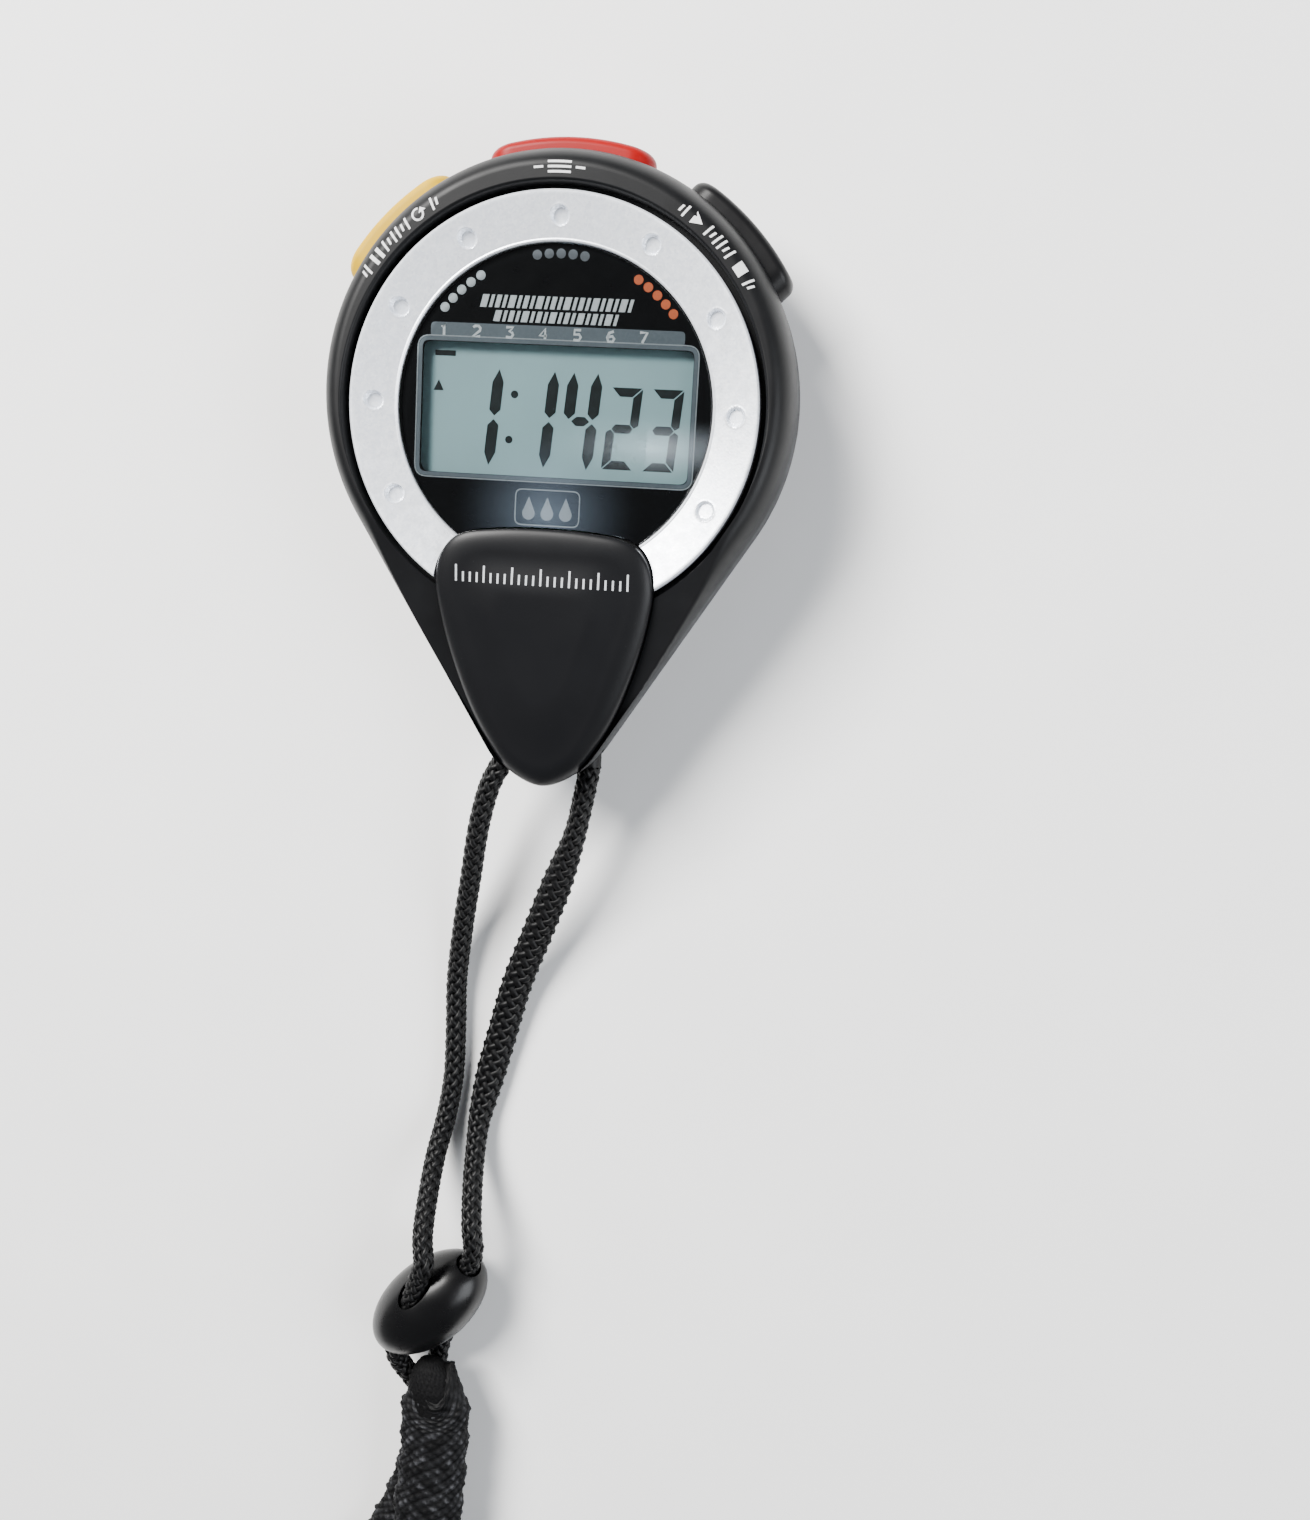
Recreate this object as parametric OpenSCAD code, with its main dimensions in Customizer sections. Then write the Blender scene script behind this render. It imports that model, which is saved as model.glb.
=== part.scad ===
// Hand-held digital stopwatch with a neck strap.
// It lies on its back. The origin is on the resting plane, under the centre
// of the dial. +Z points out of the face and +Y to the twelve o'clock button.
// All sizes are in millimetres.

/* [Case] */
// Radius of the round part of the case
case_r = 31.5; // [30.5:0.1:38]
// Distance from the dial centre up to the centre of the round part
case_y = 1.4; // [0.8:0.1:1.6]
// Radius of the tip of the case
tip_r = 9; // [8.5:0.1:10]
// Distance from the dial centre to the tip centre
tip_y = 41; // [39:0.5:50]
// Height of the seam between the two shells
seam_z = 7; // [6.6:0.1:7.4]
// Wall thickness of the shells
wall = 2; // [1.6:0.1:2.4]
// Thickness of the floor of the rear shell
floor_t = 2.2; // [2:0.1:2.3]
// Fall of the lower front face, in degrees
slope = 10.2; // [8:0.1:11]

/* [Face] */
// Height of the dimpled ring at its dimples
face_z = 19; // [18.8:0.1:20.5]
// Outer radius of the bezel ring
ring_r = 27.1; // [26.8:0.1:27.3]
// Inner radius of the bezel ring
ring_in = 20.95; // [20.5:0.05:21.2]
// Rise of the ring from its inner to its outer edge
ring_dish = 1.5; // [0.5:0.1:1.8]
// Radius of the circle of dimples
dimple_pitch_r = 24; // [23:0.1:25]
// Radius of one dimple
dimple_r = 1.25; // [0.8:0.05:1.6]
// Thickness of the window
lens_t = 1; // [0.8:0.1:1.2]
// Thickness of the printed dial plate
dial_t = 0.5; // [0.4:0.1:0.6]
// Width of the display aperture
aperture_w = 36; // [30:0.5:37]
// Height of the display aperture
aperture_h = 16.9; // [14:0.1:18]

/* [Shield] */
// Height of the shield's edge above the face
shield_h = 1.2; // [0.8:0.1:2]
// Rise of the shield's middle over its edge
shield_crown = 0.7; // [0.2:0.1:1.2]
// Width of the rounding at the shield's edge
shield_round = 3.4; // [2:0.1:4]
// Fall of the shield's top, in degrees
shield_slope = 7; // [6:0.1:8]
// Depth of the pocket that the shield is glued in
shield_sink = 0.7; // [0.4:0.1:0.9]

/* [Buttons] */
// Height of the button centres
button_z = 12; // [11.8:0.1:12.1]
// Height of a button cap
cap_h = 6.4; // [5.8:0.1:6.6]
// Half length of the twelve o'clock cap
mode_half = 11; // [9:0.1:11.5]
// Half length of each side cap
side_half = 9.3; // [8:0.1:10]
// How far the caps stand out of the case
cap_out = 3.1; // [2.4:0.1:4]
// Travel of a button
travel = 1.2; // [0.6:0.1:1.3]
// Radius of a button stem
stem_r = 1.1; // [0.9:0.05:1.15]
// Angle of the two side buttons from twelve o'clock
side_angle = 45; // [42:1:48]

/* [Battery] */
// Radius of the coin cell
cell_r = 10; // [9:0.5:10.2]
// Height of the coin cell
cell_h = 3.2; // [2.5:0.1:3.4]
// Distance of the cell centre above the dial centre
cell_y = 13.5; // [13:0.5:14]
// Turn of the battery door from locked to free, in degrees
door_turn = 45; // [35:1:60]

/* [Electronics] */
// Width of the display glass
lcd_w = 37.4; // [37:0.1:38]
// Height of the display glass
lcd_h = 20; // [19:0.1:20.4]
// Thickness of the display glass
lcd_t = 1.8; // [1.4:0.1:2.2]
// Thickness of the circuit board
board_t = 1; // [0.8:0.1:1.2]
// Radius of the round part of the circuit board
board_r = 21.5; // [21:0.1:21.6]
// Radius of the buzzer disc
buzzer_r = 9; // [7:0.5:10]

/* [Fasteners] */
// Radius of the case screws
screw_r = 1; // [0.8:0.05:1.1]
// Radius of the case screw heads
screw_head_r = 2; // [1.7:0.1:2.2]
// Radius of the board screws
board_screw_r = 0.7; // [0.5:0.05:0.8]

/* [Lanyard] */
// Diameter of the thin cord
cord_d = 3; // [2.4:0.1:3.2]
// Width of the neck strap
strap_w = 11; // [9:0.5:12]
// Thickness of the neck strap
strap_t = 4.3; // [3:0.1:4.4]
// Half length of the slider bead
bead_a = 10.7; // [9:0.1:12]
// Radius of the slider bead at its middle
bead_r = 6.3; // [6:0.1:6.4]
// Radius of the two cord holes in the bead
bead_hole_r = 2; // [1.9:0.1:2.4]

/* [Hidden] */

$fn = 64;
eps = 0.01;      // overlap of cutting tools
tight = 0.05;    // radial play of what is fixed or guided
running = 0.05;  // radial play of the stems in their bushes
easy = 0.2;      // play of loosely fitted trim
cap_play = 0.25; // play of a cap in its pocket

// Heights of the stack, from the window down
ring_half = (ring_dish) / 2;
window_top = face_z - ring_half - 0.05;
window_z = window_top - lens_t;
dial_z = window_z - dial_t;
ledge_t = 1.4;
roof_z = dial_z - ledge_t;
lcd_top = roof_z - 0.1;
lcd_z = lcd_top - lcd_t;
board_z = 8;
board_top = board_z + board_t;
ring_seat_z = window_z - 0.2;
groove = 0.8;
rim_z = face_z + 1.4;

// The lower front face is a plane through this line across the case
slope_y = -21;
slope_z = face_z + 0.4;
function face_plane(y) = slope_z + tan(slope) * (y - slope_y);
function shield_rise(y) = shield_h + (tan(slope) - tan(shield_slope)) * (slope_y + 5 - y);

// Edge profiles of the shells: how far in from the outline, and how high
front_profile = [
    [0.15, seam_z], [0, seam_z + 2.5], [0, rim_z - 5.9], [0.2, rim_z - 3.8], [0.7, rim_z - 2.1],
    [1.45, rim_z - 0.9], [2.3, rim_z - 0.2], [3, rim_z]
];
rear_profile = [[4, 0], [2.6, 0.5], [1.6, 1.5], [0.85, 3], [0.4, 5], [0.15, seam_z]];

// Buttons, along the radius
cap_r = case_r + cap_out;
pocket_r = case_r - 2.5;
cap_in = pocket_r + travel + 0.2;
seat_u = pocket_r - 0.2;
seal_t = 1.1;
seal_u = seat_u - seal_t;
block_r = case_r - 5.3;
cap_skin = 1.7;
recess_u = cap_r - cap_skin;
spring_wire = 0.5;
spring_r = cap_h / 2 - 0.7;
recess_r = spring_r + spring_wire / 2 + 0.15;
spring_turns = 4;
bush_r = stem_r + 0.9;
clip_t = 0.5;
clip_u = block_r - 0.1 - clip_t;
clip_r = 2.1;
groove_r = stem_r - 0.3;
stem_end = board_r + 1.1;
contact_t = 0.3;
contact_u = stem_end - travel - 0.2 - contact_t;
angles = [90, 90 + side_angle, 90 - side_angle];

// Battery door
door_r = cell_r + 1.9;
door_plug_r = door_r - 1;
door_z = 0.2;
door_rim_t = 0.7;
door_step_z = floor_t - 0.6;
door_top = floor_t + 0.05;
lug_h = 0.65;
lug_r = door_plug_r + 0.9;
lug_angle = 20;
notch_play = 0.15;
seal_minor = 0.33;
cell_z = door_top + 0.1;
holder_z = door_top + lug_h + 0.2;
coin_slot = [12, 1.6, 0.5];

// Screws
boss_r = 2.6;
screw_spots = [
    for (a = [15, 165]) [(block_r - 1.2) * cos(a), (block_r - 1.2) * sin(a)],
    [15.8, -24], [-15.8, -24]
];
screw_head_t = 1.6;
screw_tip_z = 13;
screw_floor_z = 2.6;
lcd_y = -0.35;
frame_wall = 1.5;
ear_r = 1.9;
ear_t = 1.6;
ear_x = 14;
ear_y = lcd_h / 2 + frame_wall + 1.2;

// Inside of the case
cavity_low = -(tip_y - 7);
bight_y = -(tip_y + 3);
bight_r = 6;
bight_z = 11;
cord_mouth_y = -(tip_y + tip_r - 2);
channel_r = cord_d / 2 + 0.4;

// Routes of the cords. The left and the right leg run from the tip of the
// case through the bead and end in the mouth of the neck strap.
cord_left_route = [
    [-6.3, -47.8, 11], [-8.4, -52, 10.6], [-10.2, -58.5, 9], [-11.9, -67, 6], [-13.5, -75.5, 3.4],
    [-14.5, -84, 2], [-14.5, -92, 1.6], [-14.6, -99.5, 1.6], [-15.4, -106, 2.2], [-16.2, -111.5, 4.6],
    [-16.2, -116.8, 8.2], [-15.9, -121.3, 11.2], [-15.25, -125.03, 12.47], [-15.98, -127.31, 11.77],
    [-17.17, -130.96, 10.67], [-18.36, -134.62, 9.57], [-19.55, -138.28, 8.47], [-20.74, -141.93, 7.37],
    [-20.9, -144, 6.4], [-20.2, -146, 5.6], [-19, -147.8, 5.1], [-18, -149.5, 4.8], [-17.6, -151.4, 4.6]
];
cord_right_route = [
    [6, -47.8, 11], [5.2, -52.5, 10.6], [3.9, -58.5, 9.4], [1.2, -66.4, 7], [-1.9, -74.8, 4.6],
    [-5, -83.2, 2.7], [-7.1, -91.3, 1.8], [-9, -99.4, 1.6], [-10.2, -106, 1.9], [-10.3, -111.5, 3.6],
    [-9.8, -116.4, 6.3], [-9.15, -120.6, 8.4], [-8.71, -124.3, 8.45], [-9.89, -127.96, 7.35],
    [-11.08, -131.61, 6.25], [-12.27, -135.27, 5.15], [-13.46, -138.93, 4.05], [-14.65, -142.58, 2.95],
    [-15.1, -144.6, 2.8], [-15.1, -146.6, 3.3], [-14.7, -148.8, 4.1], [-14.4, -151.4, 4.6]
];

// Bead: its centre, the turn of its long axis, the turn and the tilt of the
// two cord holes, and where each hole lies beside and above the centre
bead_at = [-15.8, -134.5, 6.4];
bead_turn = 44;
bead_cord_turn = -18;
bead_cord_tilt = 16;
bead_holes = [[-2.4, 3.3], [3.6, -1.3]];

// The strap leaves the mouth as two legs, the upper one on the lower one,
// and both run to a hank whose turns lie on each other
hank_x = -10;
hank_top = -226;
hank_low = -302;
hank_r = 33;
layer_low = 2.9;
layer_high = 7.4;
strap_lower_route = [
    [-15.4, -149.4, 2.4], [-15.4, -156, 2.4], [-15.6, -162, 2.4], [-16.6, -168, 2.4], [-19, -174.4, 2.4],
    [-22.6, -181, 2.6], [-27.2, -188, 2.8], [-32, -196, 2.9], [-37, -206, 2.9], [-41.4, -217, 2.9]
];
strap_upper_route = [
    [-14.2, -148.2, 7], [-14.2, -154, 7], [-14.2, -160, 7], [-14.6, -166, 7], [-14.8, -172, 7],
    [-12.4, -178, 7], [-6.4, -183, 7.1], [1.6, -187.6, 7.2], [9.4, -193.2, 7.4], [15.8, -200.4, 7.4],
    [20.2, -209, 7.4], [22.5, -218, 7.4]
];

// ---- outlines and swept solids ----

// Teardrop: the tangent hull of the case circle and the tip circle, moved in by inset
taper = asin((case_r - tip_r) / (tip_y + case_y));
function teardrop(inset) = [
    for (i = [0:60]) let (a = -taper + (180 + 2 * taper) * i / 60)
        (case_r - inset) * [cos(a), sin(a)] + [0, case_y],
    for (i = [0:16]) let (a = 180 + taper + (180 - 2 * taper) * i / 16)
        (tip_r - inset) * [cos(a), sin(a)] + [0, -tip_y]
];

// Shield: half of the outline from the top edge to the tip, mirrored and smoothed
shield_half = [
    [0, -15.6], [6, -15.8], [11, -16.6], [13.6, -18.9], [14.6, -22.5], [14.2, -26.5], [12.7, -32.6],
    [10.2, -39.6], [7.6, -44.6], [4.6, -48.6], [0, -50.6]
];
shield_mid = -30;
shield_all = concat(
    [for (p = shield_half) [-p.x, p.y]],
    [for (i = [len(shield_half) - 2:-1:1]) shield_half[i]]
);
function spline(p, i, t) =
    let (n = len(p), a = p[(i + n - 1) % n], b = p[i], c = p[(i + 1) % n], d = p[(i + 2) % n])
    0.5 * (2 * b + (c - a) * t + (2 * a - 5 * b + 4 * c - d) * t * t + (3 * b - a - 3 * c + d) * t * t * t);
shield_smooth = [for (i = [0:len(shield_all) - 1]) for (t = [0, 0.34, 0.67]) spline(shield_all, i, t)];
function shield_outline(grow) = [
    for (p = shield_smooth) let (d = p - [0, shield_mid]) [0, shield_mid] + d * (1 + grow / norm(d))
];

// A closed solid through a stack of rings with the same number of points
module skin(rings) {
    n = len(rings[0]);
    m = len(rings);
    points = [for (r = rings) for (p = r) p];
    sides = [for (j = [0:m - 2]) for (i = [0:n - 1]) let (k = (i + 1) % n)
        [j * n + i, (j + 1) * n + i, (j + 1) * n + k, j * n + k]];
    low = [[for (i = [0:n - 1]) i]];
    high = [[for (i = [n - 1:-1:0]) (m - 1) * n + i]];
    polyhedron(points, concat(low, sides, high), convexity = 6);
}

module shell_skin(profile) {
    skin([for (s = profile) [for (p = teardrop(s[0])) [p.x, p.y, s[1]]]]);
}

// A tube along a route, w wide across the floor and t thick
module tube(route, w, t, sides) {
    n = len(route);
    rings = [for (i = [0:n - 1])
        let (d = route[min(i + 1, n - 1)] - route[max(i - 1, 0)],
             along = d / norm(d),
             flat = norm([d.x, d.y]),
             across = [-d.y, d.x, 0] / flat,
             up = cross(along, across))
        [for (k = [0:sides - 1]) let (a = -360 * k / sides)
            route[i] + across * cos(a) * w / 2 - up * sin(a) * t / 2]];
    skin(rings);
}

// Places its children on the radius of one button, with their X along it
module on_button(angle) {
    translate([0, 0, button_z]) rotate([0, 0, angle]) children();
}

// A round bar on that radius, from one distance from the centre to another
module radial(from, to, r) {
    translate([from, 0, 0]) rotate([0, 90, 0]) cylinder(h = to - from, r = r);
}

// Pill-shaped prism on that radius, the outline of a cap seen from outside
module pill(from, to, half_len, height) {
    straight = half_len - height / 2;
    translate([from, -straight, -height / 2]) cube([to - from, 2 * straight, height]);
    for (s = [-1, 1]) translate([from, s * straight, 0]) rotate([0, 90, 0])
        cylinder(h = to - from, r = height / 2);
}

function half_of(angle) = angle == 90 ? mode_half : side_half;

module shield_prism(grow) {
    translate([0, 0, 10]) linear_extrude(15) polygon(shield_outline(grow));
}

// ---- shells ----

module button_cuts(angle) {
    on_button(angle) {
        difference() {
            pill(block_r - 1, cap_r + 2, half_of(angle) + cap_play, cap_h + 2 * cap_play);
            translate([0, 0, -10]) cylinder(h = 20, r = pocket_r, $fn = 180);
        }
        radial(seat_u, cap_r, recess_r + 0.1);
        radial(block_r - 1, cap_r, bush_r);
    }
}

module cavity(low, high) {
    difference() {
        intersection() {
            translate([0, 0, low]) linear_extrude(high - low) polygon(teardrop(wall));
            translate([-case_r, cavity_low, low]) cube([2 * case_r, 3 * case_r, high - low]);
        }
        difference() {
            translate([-case_r, 6, low - 1]) cube([2 * case_r, 2 * case_r, high - low + 2]);
            translate([0, 0, low - 2]) cylinder(h = high - low + 4, r = block_r, $fn = 128);
        }
    }
}

module cord_channel(r) {
    translate([0, bight_y, bight_z]) {
        rotate_extrude(angle = 180) translate([bight_r, 0]) circle(r = r, $fn = 32);
        for (s = [-1, 1]) translate([s * bight_r, eps, 0]) rotate([90, 0, 0]) cylinder(h = 12, r = r, $fn = 32);
    }
}

module gasket_band(play, low, high) {
    translate([0, 0, low]) linear_extrude(high - low) difference() {
        polygon(teardrop(0.9 - play));
        polygon(teardrop(1.6 + play));
    }
}

module front_case() {
    color("#151517") difference() {
        union() {
            difference() {
                shell_skin(front_profile);
                cavity(seam_z - 1, roof_z);
            }
            for (p = screw_spots) translate([p.x, p.y, seam_z]) cylinder(h = roof_z + 0.5 - seam_z, r = boss_r);
        }
        translate([-50, slope_y, slope_z]) rotate([slope, 0, 0]) translate([0, -60, 0]) cube([100, 140, 30]);
        difference() {
            union() {
                translate([0, 0, ring_seat_z]) cylinder(h = 10, r = ring_r + groove, $fn = 180);
                translate([0, 0, dial_z]) cylinder(h = 10, r = ring_in, $fn = 180);
                translate([0, 0, roof_z - 1]) cylinder(h = 10, r = ring_in - 1, $fn = 180);
            }
            shield_prism(0);
        }
        skin([
            [for (p = shield_outline(easy)) [p.x, p.y, face_plane(p.y) - shield_sink]],
            [for (p = shield_outline(easy)) [p.x, p.y, face_plane(p.y) + 8]]
        ]);
        for (a = angles) button_cuts(a);
        for (p = screw_spots) translate([p.x, p.y, seam_z - 1])
            cylinder(h = screw_tip_z + 1.3 - seam_z, r = screw_r + tight);
        gasket_band(tight, seam_z - 1, seam_z + 0.6);
        cord_channel(channel_r);
    }
}

module rear_case() {
    color("#17171a") difference() {
        shell_skin(rear_profile);
        difference() {
            cavity(floor_t, seam_z + 1);
            for (p = screw_spots) translate([p.x, p.y, 0]) cylinder(h = seam_z + 1, r = boss_r + 0.3);
        }
        for (p = screw_spots) translate([p.x, p.y, -1]) {
            cylinder(h = seam_z + 2, r = screw_r + easy);
            cylinder(h = screw_floor_z + 1, r = screw_head_r + easy);
        }
        gasket_band(tight, seam_z - 0.8, seam_z + 1);
        translate([0, cell_y, -1]) {
            cylinder(h = door_step_z + 1, r = door_r + 0.1, $fn = 128);
            cylinder(h = floor_t + 2, r = door_plug_r + 0.1, $fn = 128);
            for (a = [0, 180]) rotate([0, 0, a + door_turn - lug_angle / 2 - 3])
                rotate_extrude(angle = lug_angle + 6) square([lug_r + notch_play, floor_t + 2]);
        }
    }
}

module case_gasket() {
    color("#2b2b2b") gasket_band(0, seam_z - 0.8, seam_z + 0.6);
}

module case_screws() {
    color("#b8b8bc") for (p = screw_spots) translate([p.x, p.y, screw_floor_z - screw_head_t]) difference() {
        union() {
            cylinder(h = screw_head_t, r = screw_head_r);
            cylinder(h = screw_tip_z - screw_floor_z + screw_head_t, r = screw_r);
        }
        for (a = [0, 90]) rotate([0, 0, a]) translate([-1.2, -0.25, -eps]) cube([2.4, 0.5, 0.8]);
    }
}

// ---- face ----

module bezel_ring() {
    low = face_z - ring_half;
    high = face_z + ring_half + 0.1;
    color("#c9ccd2") difference() {
        rotate_extrude($fn = 180) polygon([
            [ring_in, ring_seat_z], [ring_r, ring_seat_z], [ring_r, high - 0.3], [ring_r - 0.3, high],
            [ring_in + 0.4, low], [ring_in + 0.2, low + 0.05], [ring_in, low - 0.15]
        ]);
        for (a = [0:30:330]) if (a < 225 || a > 315)
            rotate([0, 0, a]) translate([dimple_pitch_r, 0, face_z - 0.4]) cylinder(h = 3, r = dimple_r);
        shield_prism(easy + 0.1);
    }
}

module window() {
    color([0.1, 0.1, 0.12, 0.4]) difference() {
        translate([0, 0, window_z]) cylinder(h = lens_t, r = ring_in - easy / 2, $fn = 180);
        shield_prism(easy);
    }
}

module dial_plate() {
    color("#0b0b0d") difference() {
        translate([0, 0, dial_z]) cylinder(h = dial_t, r = ring_in - easy, $fn = 180);
        translate([-aperture_w / 2, lcd_y - aperture_h / 2, dial_z - 1]) cube([aperture_w, aperture_h, 3]);
        shield_prism(easy);
    }
}

// Each step is how far in from the outline, and the share of the full height.
// The crown rises over the middle of the flat top.
module shield() {
    steps = [
        [-shield_sink, 0, 0], [0, 0, 0.3], [0, 0.07, 0.55], [0, 0.25, 0.78], [0, 0.55, 0.94], [0, 1, 1],
        [shield_crown * 0.6, 1.8, 1], [shield_crown, 2.6, 1]
    ];
    color("#141416") skin([for (s = steps)
        [for (p = shield_outline(-s[1] * shield_round))
            [p.x, p.y, face_plane(p.y) + s[0] + s[2] * shield_rise(p.y)]]]);
}

// ---- display and electronics ----

module lcd_panel() {
    color("#98a39c") translate([-lcd_w / 2, lcd_y - lcd_h / 2, lcd_z]) cube([lcd_w, lcd_h, lcd_t]);
}

module lcd_frame() {
    w = lcd_w + 2 * (tight + frame_wall);
    h = lcd_h + 2 * (tight + frame_wall);
    color("#dcdcd8") difference() {
        union() {
            translate([-w / 2, lcd_y - h / 2, board_top]) cube([w, h, lcd_top - board_top]);
            for (x = [-1, 1]) for (y = [-1, 1])
                translate([x * ear_x, lcd_y + y * ear_y, board_top]) cylinder(h = ear_t, r = ear_r);
        }
        translate([-lcd_w / 2 - tight, lcd_y - lcd_h / 2 - tight, lcd_z])
            cube([lcd_w + 2 * tight, lcd_h + 2 * tight, 10]);
        translate([-lcd_w / 2 + 1, lcd_y - lcd_h / 2 + 0.6, board_top - 1]) cube([lcd_w - 2, lcd_h - 1.2, 10]);
        for (x = [-1, 1]) for (y = [-1, 1])
            translate([x * ear_x, lcd_y + y * ear_y, board_top - 1])
                cylinder(h = ear_t + 2, r = board_screw_r + tight);
    }
}

module zebra_strips() {
    color("#c98d9a") for (s = [-1, 1])
        translate([-17.3, lcd_y + s * (lcd_h / 2 - 1.6) - 0.8, board_top]) cube([34.6, 1.6, lcd_z - board_top]);
}

module circuit_board() {
    color("#2f6b3f") difference() {
        translate([0, 0, board_z]) union() {
            cylinder(h = board_t, r = board_r, $fn = 128);
            translate([-9, -27, 0]) cube([18, 20, board_t]);
        }
        for (x = [-1, 1]) for (y = [-1, 1])
            translate([x * ear_x, lcd_y + y * ear_y, board_z - 1])
                cylinder(h = board_t + 2, r = board_screw_r + tight);
    }
}

module processor_blob() {
    blob_r = 4;
    blob_h = 1.4;
    ball_r = (blob_r * blob_r + blob_h * blob_h) / (2 * blob_h);
    color("#1b1b1b") translate([-3, -1, board_top]) rotate_extrude() intersection() {
        translate([0, blob_h - ball_r]) circle(r = ball_r, $fn = 96);
        square([blob_r, blob_h]);
    }
}

module quartz_crystal() {
    color("#d4d4d4") translate([6, -4, board_top + 1]) rotate([0, 90, 0]) cylinder(h = 6, r = 1);
}

module board_parts() {
    color("#8a6a45") for (x = [4, 7, 10, 13]) for (y = [1, 4])
        translate([x, y, board_top]) cube([1.6, 0.8, 0.6]);
}

module board_screws() {
    color("#b8b8bc") for (x = [-1, 1]) for (y = [-1, 1]) translate([x * ear_x, lcd_y + y * ear_y, board_z]) {
        translate([0, 0, -0.7]) cylinder(h = 0.7, r = board_screw_r + 0.6);
        cylinder(h = board_t + ear_t, r = board_screw_r);
    }
}

module switch_contacts() {
    color("#d8b25a") for (a = angles) on_button(a)
        translate([contact_u, -1.5, board_top - button_z]) cube([contact_t, 3, button_z + 1 - board_top]);
}

module buzzer_disc() {
    color("#c8a85a") translate([0, -20, floor_t]) {
        cylinder(h = 0.25, r = buzzer_r);
        translate([0, 0, 0.25]) cylinder(h = 0.25, r = buzzer_r * 0.7);
    }
}

// ---- springs ----

function coil_route(r, h, wire, turns) = [for (i = [0:turns * 12])
    [r * cos(30 * i), r * sin(30 * i), wire / 2 + (h - wire) * i / (turns * 12)]];

module coil_spring(r, h, wire, turns) {
    route = coil_route(r, h, wire, turns);
    skin([for (i = [0:len(route) - 1]) let (a = 30 * i)
        [for (k = [0:7]) route[i] + wire / 2 * (cos(45 * k) * [cos(a), sin(a), 0] - sin(45 * k) * [0, 0, 1])]]);
}

module buzzer_springs() {
    low = floor_t + 0.5;
    color("#d8b25a") for (x = [-3, 3])
        translate([x, -20, low]) coil_spring(1, board_z - low, 0.35, 5);
}

module button_spring(angle) {
    color("#c9c9c9") on_button(angle) translate([seat_u, 0, 0]) rotate([0, 90, 0])
        coil_spring(spring_r, recess_u - seat_u, spring_wire, spring_turns);
}

// ---- battery ----

module coin_cell() {
    color("#cfd2d6") translate([0, cell_y, cell_z]) {
        cylinder(h = cell_h - 0.4, r = cell_r, $fn = 128);
        cylinder(h = cell_h, r = cell_r - 1.2, $fn = 128);
    }
}

module cell_holder() {
    color("#e4e2dc") difference() {
        translate([0, cell_y, holder_z]) cylinder(h = board_z - holder_z, r = cell_r + 1.6, $fn = 128);
        translate([0, cell_y, 0]) cylinder(h = 20, r = cell_r + 0.35, $fn = 128);
    }
}

module cell_contact_plus() {
    color("#d8b25a") difference() {
        intersection() {
            translate([0, cell_y, holder_z]) cylinder(h = board_z - holder_z, r = cell_r + 0.32, $fn = 128);
            translate([-cell_r - 2, cell_y - 2, 0]) cube([5, 4, 20]);
        }
        translate([0, cell_y, 0]) cylinder(h = 20, r = cell_r + 0.02, $fn = 128);
    }
}

module cell_contact_minus() {
    top = cell_z + cell_h;
    color("#d8b25a") {
        translate([-1.5, cell_y - 5, top]) cube([3, 10, 0.3]);
        translate([-1.5, cell_y - 5, top]) cube([3, 0.3, board_z - top]);
    }
}

module battery_door() {
    color("#1a1a1c") translate([0, cell_y, 0]) difference() {
        union() {
            translate([0, 0, door_z]) cylinder(h = door_rim_t, r = door_r, $fn = 128);
            translate([0, 0, door_z]) cylinder(h = door_top - door_z, r = door_plug_r, $fn = 128);
            for (a = [0, 180]) rotate([0, 0, a - lug_angle / 2]) rotate_extrude(angle = lug_angle) polygon([
                [cell_r + easy, door_top - 0.5], [door_plug_r - tight, door_top - 0.5],
                [door_plug_r - tight, door_top], [lug_r, door_top], [lug_r, door_top + lug_h],
                [cell_r + easy, door_top + lug_h]
            ]);
        }
        translate([-coin_slot.x / 2, -coin_slot.y / 2, 0])
            cube([coin_slot.x, coin_slot.y, door_z + coin_slot.z]);
    }
}

module door_seal() {
    z = (door_z + door_rim_t + door_step_z) / 2;
    color("#333333") translate([0, cell_y, z]) rotate_extrude($fn = 128)
        translate([(door_r + door_plug_r) / 2, 0]) circle(r = seal_minor, $fn = 24);
}

// ---- buttons ----

module button(angle, tint) {
    half_len = half_of(angle);
    color(tint) on_button(angle) difference() {
        union() {
            difference() {
                intersection() {
                    pill(block_r, cap_r + 1, half_len, cap_h);
                    translate([0, 0, -cap_h / 2 - 1]) cap_body();
                }
                translate([0, 0, -10]) cylinder(h = 20, r = cap_in, $fn = 180);
                radial(block_r, recess_u, recess_r);
            }
            radial(stem_end, recess_u + 0.5, stem_r);
        }
        difference() {
            radial(clip_u, clip_u + clip_t, stem_r + 1);
            radial(clip_u - 1, clip_u + clip_t + 1, groove_r);
        }
    }
}

// Round body whose rim is chamfered above and below
module cap_body() {
    rotate_extrude($fn = 180) polygon([
        [0, 1], [cap_r - 1.2, 1], [cap_r - 0.4, 1.7], [cap_r, 2.8], [cap_r, cap_h - 0.8],
        [cap_r - 0.4, cap_h + 0.3], [cap_r - 1.2, cap_h + 1], [0, cap_h + 1]
    ]);
}

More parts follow.
